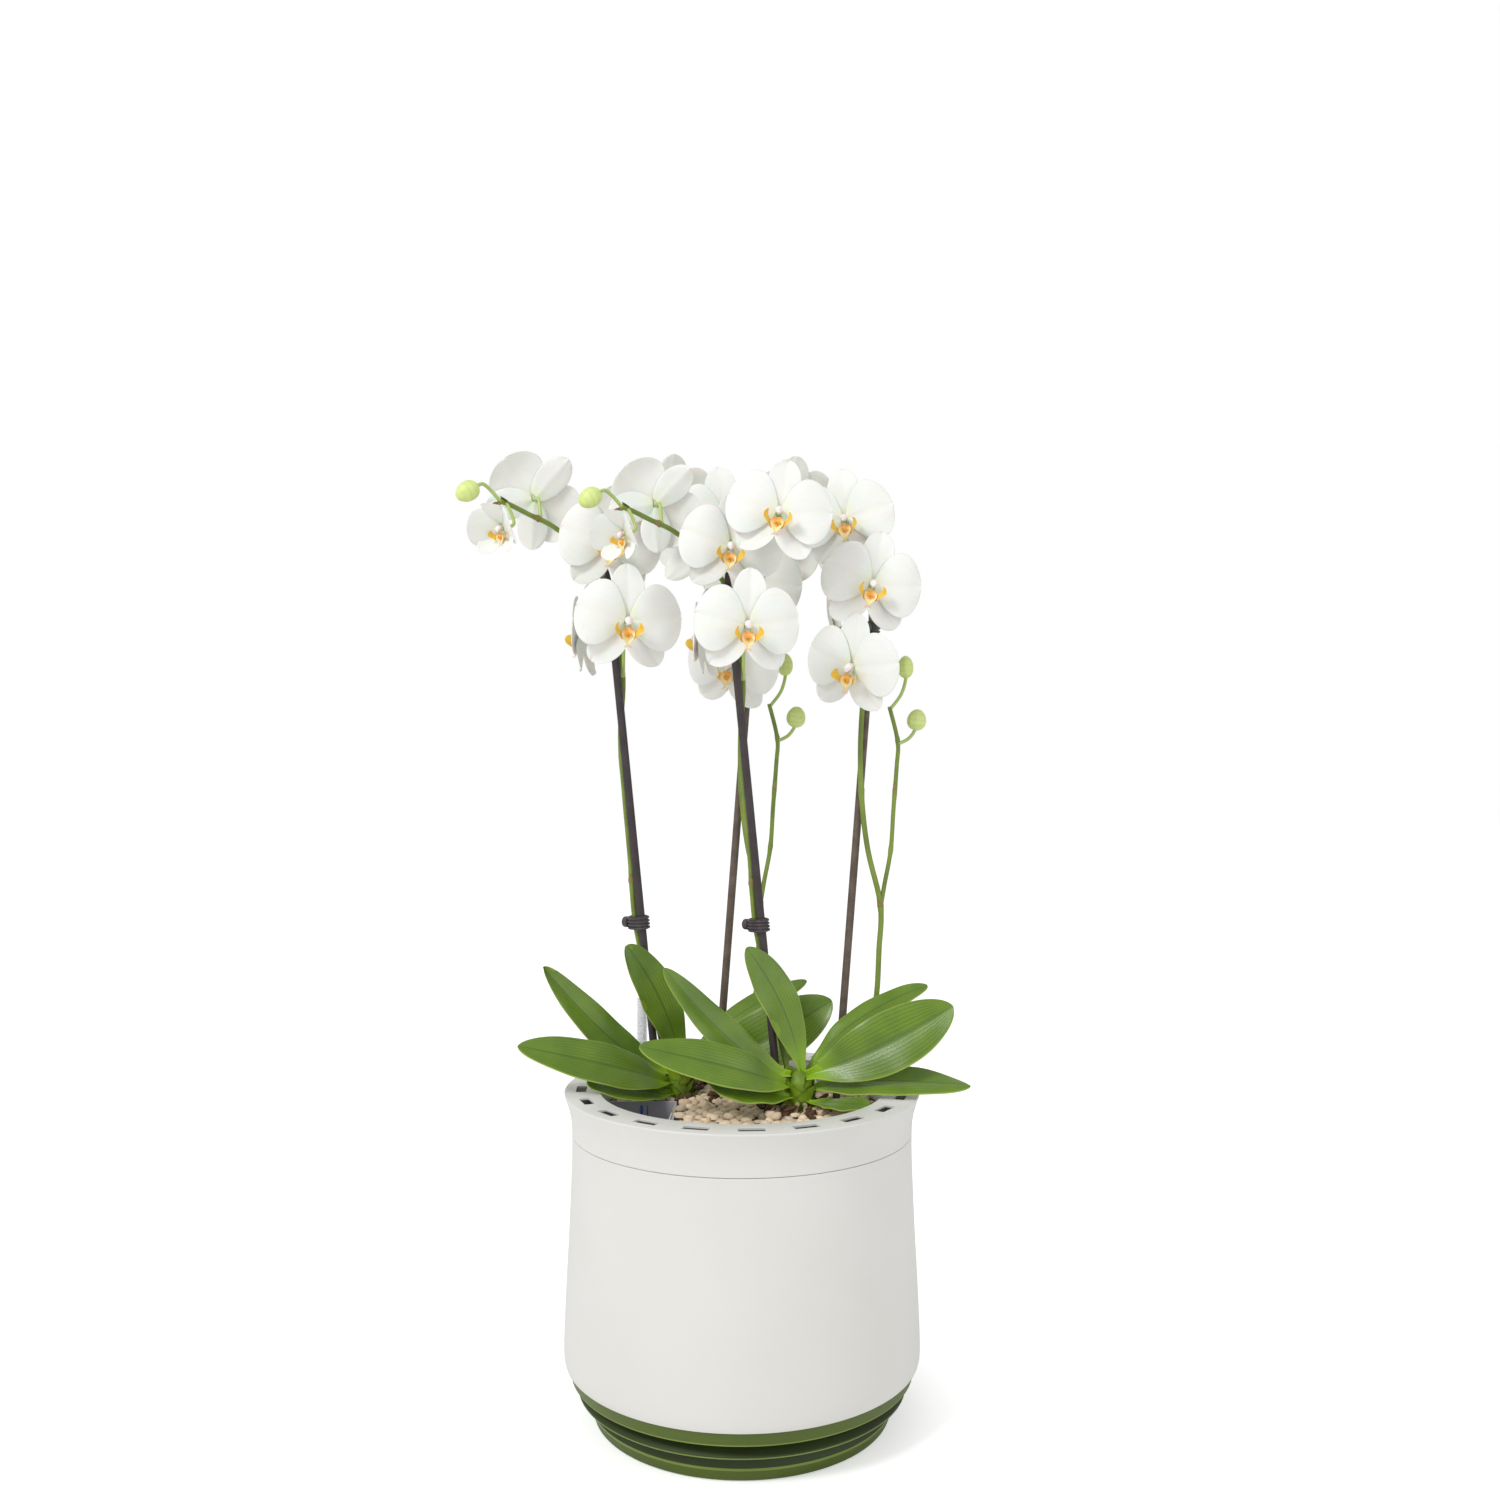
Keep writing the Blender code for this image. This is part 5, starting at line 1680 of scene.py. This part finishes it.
@dataclass
class Spike:
    """A flower spike with its joints and bracts, side branch, flower stalks and buds."""

    plant: PlantFrame
    side: str
    route: Sequence[Point]
    branches: Sequence[Sequence[Point]]
    buds: Sequence[tuple]
    blooms: Sequence[Bloom]
    joints: Sequence[float]
    stalk_radius: float = 0.0013

    def stem(
        self, bm: Mesh, route: Sequence[Point], start: float, end: float, joints: Sequence[float]
    ) -> None:
        """Draws one stem, swollen at its joints, with a bract at each.

        Args:
            bm: Mesh that takes it.
            route: Its points.
            start: Its radius at the foot.
            end: Its radius at the tip.
            joints: Places of its joints, in points from its foot.
        """
        per_span = 6
        fine = smooth_route(route, per_span)
        radii = []
        for index in range(len(fine)):
            at = index / per_span
            swell = sum(math.exp(-(((at - joint) / 0.10) ** 2)) for joint in joints)
            radii.append((start + (end - start) * index / (len(fine) - 1)) * (1 + 0.22 * swell))
        sweep(bm, fine, radii, 14, 0)
        knots = [Vector(point) for point in route]
        for number, joint in enumerate(joints):
            here = spline_point(knots, joint)
            above = spline_point(knots, min(joint + 0.1, len(knots) - 1))
            up = (above - spline_point(knots, max(joint - 0.1, 0))).normalized()
            out = up.orthogonal().normalized()
            out.rotate(Matrix.Rotation(math.pi * number + 0.6, 3, up))
            self.bract(bm, here, up, out, start * 1.12)

    def bract(self, bm: Mesh, here: Vector, up: Vector, out: Vector, radius: float) -> None:
        """Adds a small scale that clasps the stem at a joint.

        Args:
            bm: Mesh that takes it.
            here: The joint.
            up: Direction along the stem.
            out: Direction that the scale faces.
            radius: The stem's radius.
        """
        across = up.cross(out)

        def shape(t: float, side: float) -> Vector:
            """Point of the scale."""
            spread = 1.25 * (1 - t) ** 0.7 * side
            away = radius * (1.02 + 0.35 * t)
            ring = out * math.cos(spread) * away + across * math.sin(spread) * away
            return here + ring + up * (0.0065 * t - 0.0006)

        blade(bm, (5, 6), shape, 0.0003, 1)

    def build(self) -> None:
        """Builds the spike as one piece."""
        bm = bmesh.new()
        bm.loops.layers.uv.verify()
        self.stem(bm, self.route, STEM_RADIUS, TWIG_RADIUS, self.joints)
        for branch in self.branches:
            self.stem(bm, branch, TWIG_RADIUS, 0.9 * TWIG_RADIUS, BRANCH_JOINTS)
        knots = [Vector(point) for point in self.route]
        for bloom in self.blooms:
            start = spline_point(knots, bloom.at)
            face = facing(bloom).to_3x3() @ Vector((0, 0, 1))
            end = Vector(bloom.middle) + face * (0.02 * FLOWER_RADIUS)
            approach = end - face * 0.015
            route = smooth_route((start, start.lerp(approach, 0.5) + Vector((0, 0, 0.003)), approach, end), 5)
            last = len(route) - 1
            waist = [1.25 - 0.35 * math.sin(math.pi * i / last) for i in range(last + 1)]
            radii = [self.stalk_radius * share for share in waist]
            sweep(bm, route, radii, 10, 2)
        for stalk, middle, half_width, half_length in self.buds:
            tip = Vector(middle)
            route = smooth_route((*stalk, tip), 5)
            sweep(bm, route, [self.stalk_radius] * len(route), 10, 2)
            lean = (tip - Vector(stalk[-1])).normalized()
            turn = Vector((0, 0, 1)).rotation_difference(lean).to_matrix().to_4x4()
            size = Matrix.Diagonal((half_width, half_width, half_length, 1))
            self.bud(bm, Matrix.Translation(tip) @ turn @ size)
        bmesh.ops.transform(bm, matrix=self.plant.matrix(), verts=bm.verts)
        name = f"{self.plant.name}_spike_{self.side}"
        piece(f"{name}_stem", bm, (STEM, STEM_NODE, STALK, BUD), Slot.STEM, (name,), 0, 60.0)

    def bud(self, bm: Mesh, place: Matrix) -> None:
        """Adds a bud, with the seams of its three folded sepals.

        Args:
            bm: Mesh that takes it.
            place: Its place, turn and size.
        """
        known = set(bm.verts)
        old = set(bm.faces)
        bmesh.ops.create_uvsphere(bm, u_segments=36, v_segments=18, radius=1.0, calc_uvs=True)
        for vert in bm.verts:
            if vert not in known:
                angle = math.atan2(vert.co.y, vert.co.x)
                ridge = 1 - 0.09 * max(0.0, math.cos(3 * angle)) ** 8
                vert.co.x *= ridge * (1 - 0.10 * vert.co.z)
                vert.co.y *= ridge * (1 - 0.10 * vert.co.z)
                vert.co = place @ vert.co
        paint(fresh_faces(bm, old), 3)


STAKE_TIP = ((0.009, 0.92), (0.006, 0.80), (0.003, 0.60), (0.001, 0.42), (0.0, 0.2))


@dataclass
class Support:
    """The two stakes of a plant and the clips that hold its spikes to them."""

    plant: PlantFrame
    radius: float = 0.0029
    buried: float = 0.045
    clip_wall: float = 0.0014

    def build_stake(self, name: str, finish: Finish) -> None:
        """Builds a stake with its rounded, tapered tip.

        Args:
            name: The stake's name.
            finish: Its finish.
        """
        foot, tip = (Vector(end) for end in STAKES[name])
        direction = (tip - foot).normalized()
        start = foot - direction * self.buried
        length = (tip - start).length
        stations = [i / 30 * (length - 0.012) for i in range(31)]
        stations += [length - short for short, _ in STAKE_TIP]
        radii = [self.radius] * 31 + [share * self.radius for _, share in STAKE_TIP]
        bm = bmesh.new()
        sweep(bm, [start + direction * s for s in stations], radii, 20)
        bmesh.ops.transform(bm, matrix=self.plant.matrix(), verts=bm.verts)
        full = f"{self.plant.name}_{name}"
        piece(f"{full}_rod", bm, (finish,), Slot.STAKE, (full,))

    def band(self, bm: Mesh, length: float, inner: float, outer: float, low: float, high: float) -> None:
        """Adds an oval band.

        Args:
            bm: Mesh that takes it.
            length: Distance between the middles of its round ends.
            inner: Radius of its bore.
            outer: Radius of its outside.
            low: Height of its lower face.
            high: Height of its upper face.
        """
        known = set(bm.faces)
        verts = bmesh.ops.create_circle(bm, cap_ends=True, segments=32, radius=outer)["verts"]
        for vert in verts:
            if abs(vert.co.x) > 1e-6:
                vert.co.x += math.copysign(length / 2, vert.co.x)
        raise_wall(bm, fresh_faces(bm, known), known, outer - inner, low, high)

    def build_clip(self, name: str, route: Sequence[Point], stake: str, height: float) -> None:
        """Builds a clip: a thin band, ribs round it and the round grip on the spike's side.

        Args:
            name: The clip's name.
            route: Points of the spike that it holds.
            stake: The stake that it holds to.
            height: Height above the substrate.
        """
        foot, tip = (Vector(end) for end in STAKES[stake])
        at_stake = foot.lerp(tip, height / tip.z)
        knots = [Vector(point) for point in route]
        at = next(i for i in range(len(knots) - 1) if knots[i].z <= height <= knots[i + 1].z)
        at_spike = knots[at].lerp(knots[at + 1], (height - knots[at].z) / (knots[at + 1].z - knots[at].z))
        apart = at_spike - at_stake
        length = apart.xy.length
        bore = self.radius + 0.0006
        bm = bmesh.new()
        self.band(bm, length, bore, bore + self.clip_wall, -0.0048, 0.0048)
        for level in (-0.0043, -0.0019, 0.0005, 0.0029):
            outer = bore + self.clip_wall
            self.band(bm, length, outer - 0.0002, outer + 0.0011, level, level + 0.0012)
        end = length / 2 + bore + self.clip_wall
        grip = [Vector((end - 0.0010 + x, 0, 0)) for x in (0, 0.0016, 0.0022, 0.0030, 0.0066, 0.0072, 0.0075)]
        sweep(bm, grip, (0.0016, 0.0016, 0.0032, 0.0040, 0.0040, 0.0034, 0.0024), 20)
        lean = Vector((0, 0, 1)).rotation_difference((tip - foot).normalized()).to_matrix().to_4x4()
        heading = Matrix.Rotation(math.atan2(apart.y, apart.x), 4, "Z")
        place = Matrix.Translation((at_stake + at_spike) / 2) @ lean @ heading
        bmesh.ops.transform(bm, matrix=self.plant.matrix() @ place, verts=bm.verts)
        full = f"{self.plant.name}_{name}"
        clip = piece(f"{full}_body", bm, (CLIP,), Slot.CLIP, (full,))
        soften(clip, 0.0002)

    def build(self) -> None:
        """Builds the stakes and the clips."""
        self.build_stake("stake_left", STAKE)
        self.build_stake("stake_right", STAKE_PALE)
        self.build_clip("clip_left", SPIKE_LEFT, "stake_left", 0.134)
        self.build_clip("clip_right", SPIKE_RIGHT, "stake_right", 0.352)


@dataclass
class Crown:
    """The crown, wrapped in leaf sheaths, and the roots at its foot."""

    plant: PlantFrame
    radius: float = 0.0085
    height: float = CROWN_HEIGHT
    depth: float = ROOT_DEPTH
    sheath_count: int = 9
    root_count: int = 11

    def build(self) -> None:
        """Builds the crown and its roots."""
        bm = bmesh.new()
        bm.loops.layers.uv.verify()
        radius, top = self.radius, self.height
        profile = [
            (0.0, top), (0.35 * radius, top - 0.0006), (0.7 * radius, top - 0.0030),
            (0.95 * radius, 0.72 * top), (radius, 0.3 * top), (0.95 * radius, 0.0),
            (0.7 * radius, -self.depth), (0.0, -self.depth),
        ]
        turned(bm, eased(profile, 0.0015, 3), 32, closed=False)
        paint(bm.faces, 1)
        draw = random.Random(len(self.plant.name))
        for number in range(self.sheath_count):
            angle = (0.0 if number % 2 else math.pi) + draw.uniform(-0.7, 0.7)
            foot = 0.001 + 0.0026 * number
            away = radius * (1.04 + 0.02 * (self.sheath_count - 1 - number))
            self.sheath(bm, angle, foot, draw.uniform(0.009, 0.012), away)
        bmesh.ops.transform(bm, matrix=self.plant.matrix(), verts=bm.verts)
        name = f"{self.plant.name}_crown"
        piece(f"{name}_sheaths", bm, (SHEATH, CROWN_FOOT), Slot.CROWN, (name,), 1, 70.0)
        roots = bmesh.new()
        for number in range(self.root_count):
            self.root(roots, math.tau * number / self.root_count + draw.uniform(-0.2, 0.2), draw)
        bmesh.ops.transform(roots, matrix=self.plant.matrix(), verts=roots.verts)
        piece(f"{self.plant.name}_roots", roots, (ROOT,), Slot.CROWN)

    def sheath(self, bm: Mesh, angle: float, foot: float, length: float, radius: float) -> None:
        """Adds a sheath that wraps the crown.

        Args:
            bm: Mesh that takes it.
            angle: Direction that it faces.
            foot: Height of its foot.
            length: Its length.
            radius: Radius that it wraps at.
        """

        def shape(t: float, side: float) -> Vector:
            """Point of the sheath."""
            spread = 1.35 * (1 - 0.75 * t**2) * side
            away = radius * (1.0 + 0.22 * t**2)
            return polar(away, angle + spread, foot + length * t - 0.0015 * side**2)

        blade(bm, (6, 8), shape, 0.0006, 0)

    def root(self, bm: Mesh, angle: float, draw: random.Random) -> None:
        """Adds a root that leaves the crown's foot, arches and goes into the bed.

        Args:
            bm: Mesh that takes it.
            angle: Direction that it leaves in.
            draw: Random draws.
        """
        reach = draw.uniform(0.012, 0.026)
        rise = draw.uniform(0.000, 0.004)
        sway = draw.uniform(-0.5, 0.5)
        points = []
        for step in range(11):
            t = step / 10
            away = 0.006 + reach * t
            heading = angle + sway * t**2
            up = 0.005 + rise * math.sin(math.pi * t) - 0.013 * t**2
            points.append(polar(away, heading, up))
        sweep(bm, points, [0.0019 * (1 - 0.25 * i / 10) for i in range(11)], 9)


@dataclass
class Plant:
    """One orchid, grown from the shared tables."""

    plant: PlantFrame
    missing: tuple[str, ...] = ()

    def build(self) -> None:
        """Builds the crown, the leaves, the supports, the spikes and the flowers."""
        Crown(self.plant).build()
        for form in LEAVES:
            if form.name not in self.missing:
                Leaf(self.plant, form).build()
        Support(self.plant).build()
        left = [bloom for bloom in BLOOMS_LEFT if bloom.name not in self.missing]
        right = [bloom for bloom in BLOOMS_RIGHT if bloom.name not in self.missing]
        Spike(self.plant, "left", SPIKE_LEFT, (), BUDS_LEFT, left, JOINTS_LEFT).build()
        Spike(self.plant, "right", SPIKE_RIGHT, (SIDE_BRANCH,), BUDS_RIGHT, right, JOINTS_RIGHT).build()
        for bloom in left + right:
            Flower(self.plant, bloom).build()


# --- Studio ----------------------------------------------------------------------------------------


@dataclass
class Studio:
    """The pale floor, the soft lights and the camera."""

    camera_place: Point = (0.00585, -1.040, 0.4836)
    lens: float = 33.86
    floor_radius: float = 9.0
    ambient: float = 0.70
    aim: Point = (0.0, 0.0, 0.35)

    def build_camera(self) -> None:
        """Places the level camera in front of the pot."""
        data = bpy.data.cameras.new("camera")
        data.lens = self.lens
        data.sensor_width = 36.0
        data.clip_start = 0.01
        camera = linked("camera", data)
        camera.location = self.camera_place
        camera.rotation_euler = (math.pi / 2, 0.0, 0.0)
        bpy.context.scene.camera = camera

    def build_floor(self) -> None:
        """Lays the floor."""
        bm = bmesh.new()
        bmesh.ops.create_circle(bm, cap_ends=True, segments=64, radius=self.floor_radius)
        floor = linked("floor", kept_mesh("floor", bm))
        floor.data.materials.append(FLOOR.build())

    def light(self, name: str, place: Point, size: float, power: float) -> None:
        """Adds a soft square light.

        Args:
            name: The light's name.
            place: Where it hangs.
            size: Its side.
            power: Its power in watts.
        """
        data = bpy.data.lights.new(name, "AREA")
        data.size = size
        data.energy = power
        lamp = linked(name, data)
        lamp.location = place
        lamp.rotation_euler = (Vector(self.aim) - Vector(place)).to_track_quat("-Z", "Y").to_euler()

    def build(self) -> None:
        """Builds the studio."""
        self.build_camera()
        self.build_floor()
        self.light("key", place=(-1.3, -1.4, 2.0), size=0.6, power=29.0)
        self.light("fill", place=(1.7, -1.2, 1.1), size=1.6, power=7.0)
        world = bpy.data.worlds.new("studio")
        world.use_nodes = True
        graph = Graph(world.node_tree)
        seen = graph.add("ShaderNodeLightPath", {}).outputs["Is Camera Ray"]
        strength = graph.step(seen, 0.0, 1.0, self.ambient, 1.0)
        graph.feed(world.node_tree.nodes["Background"], {"Color": (1.0, 1.0, 1.0), "Strength": strength})
        bpy.context.scene.world = world
        bpy.context.scene.view_settings.view_transform = "Standard"


def main() -> None:
    """Builds the pot, the bed, the plants and the studio."""
    logging.basicConfig(level=logging.INFO, format="%(name)s: %(message)s")
    Studio().build()
    OuterPot().build()
    InnerPot().build()
    Bed().build()
    missing = {"front": (), "rear": ("leaf_low_right", "leaf_under_right", "flower_09")}
    for plant in PLANTS:
        Plant(plant, missing[plant.name]).build()


if __name__ == "__main__":
    main()
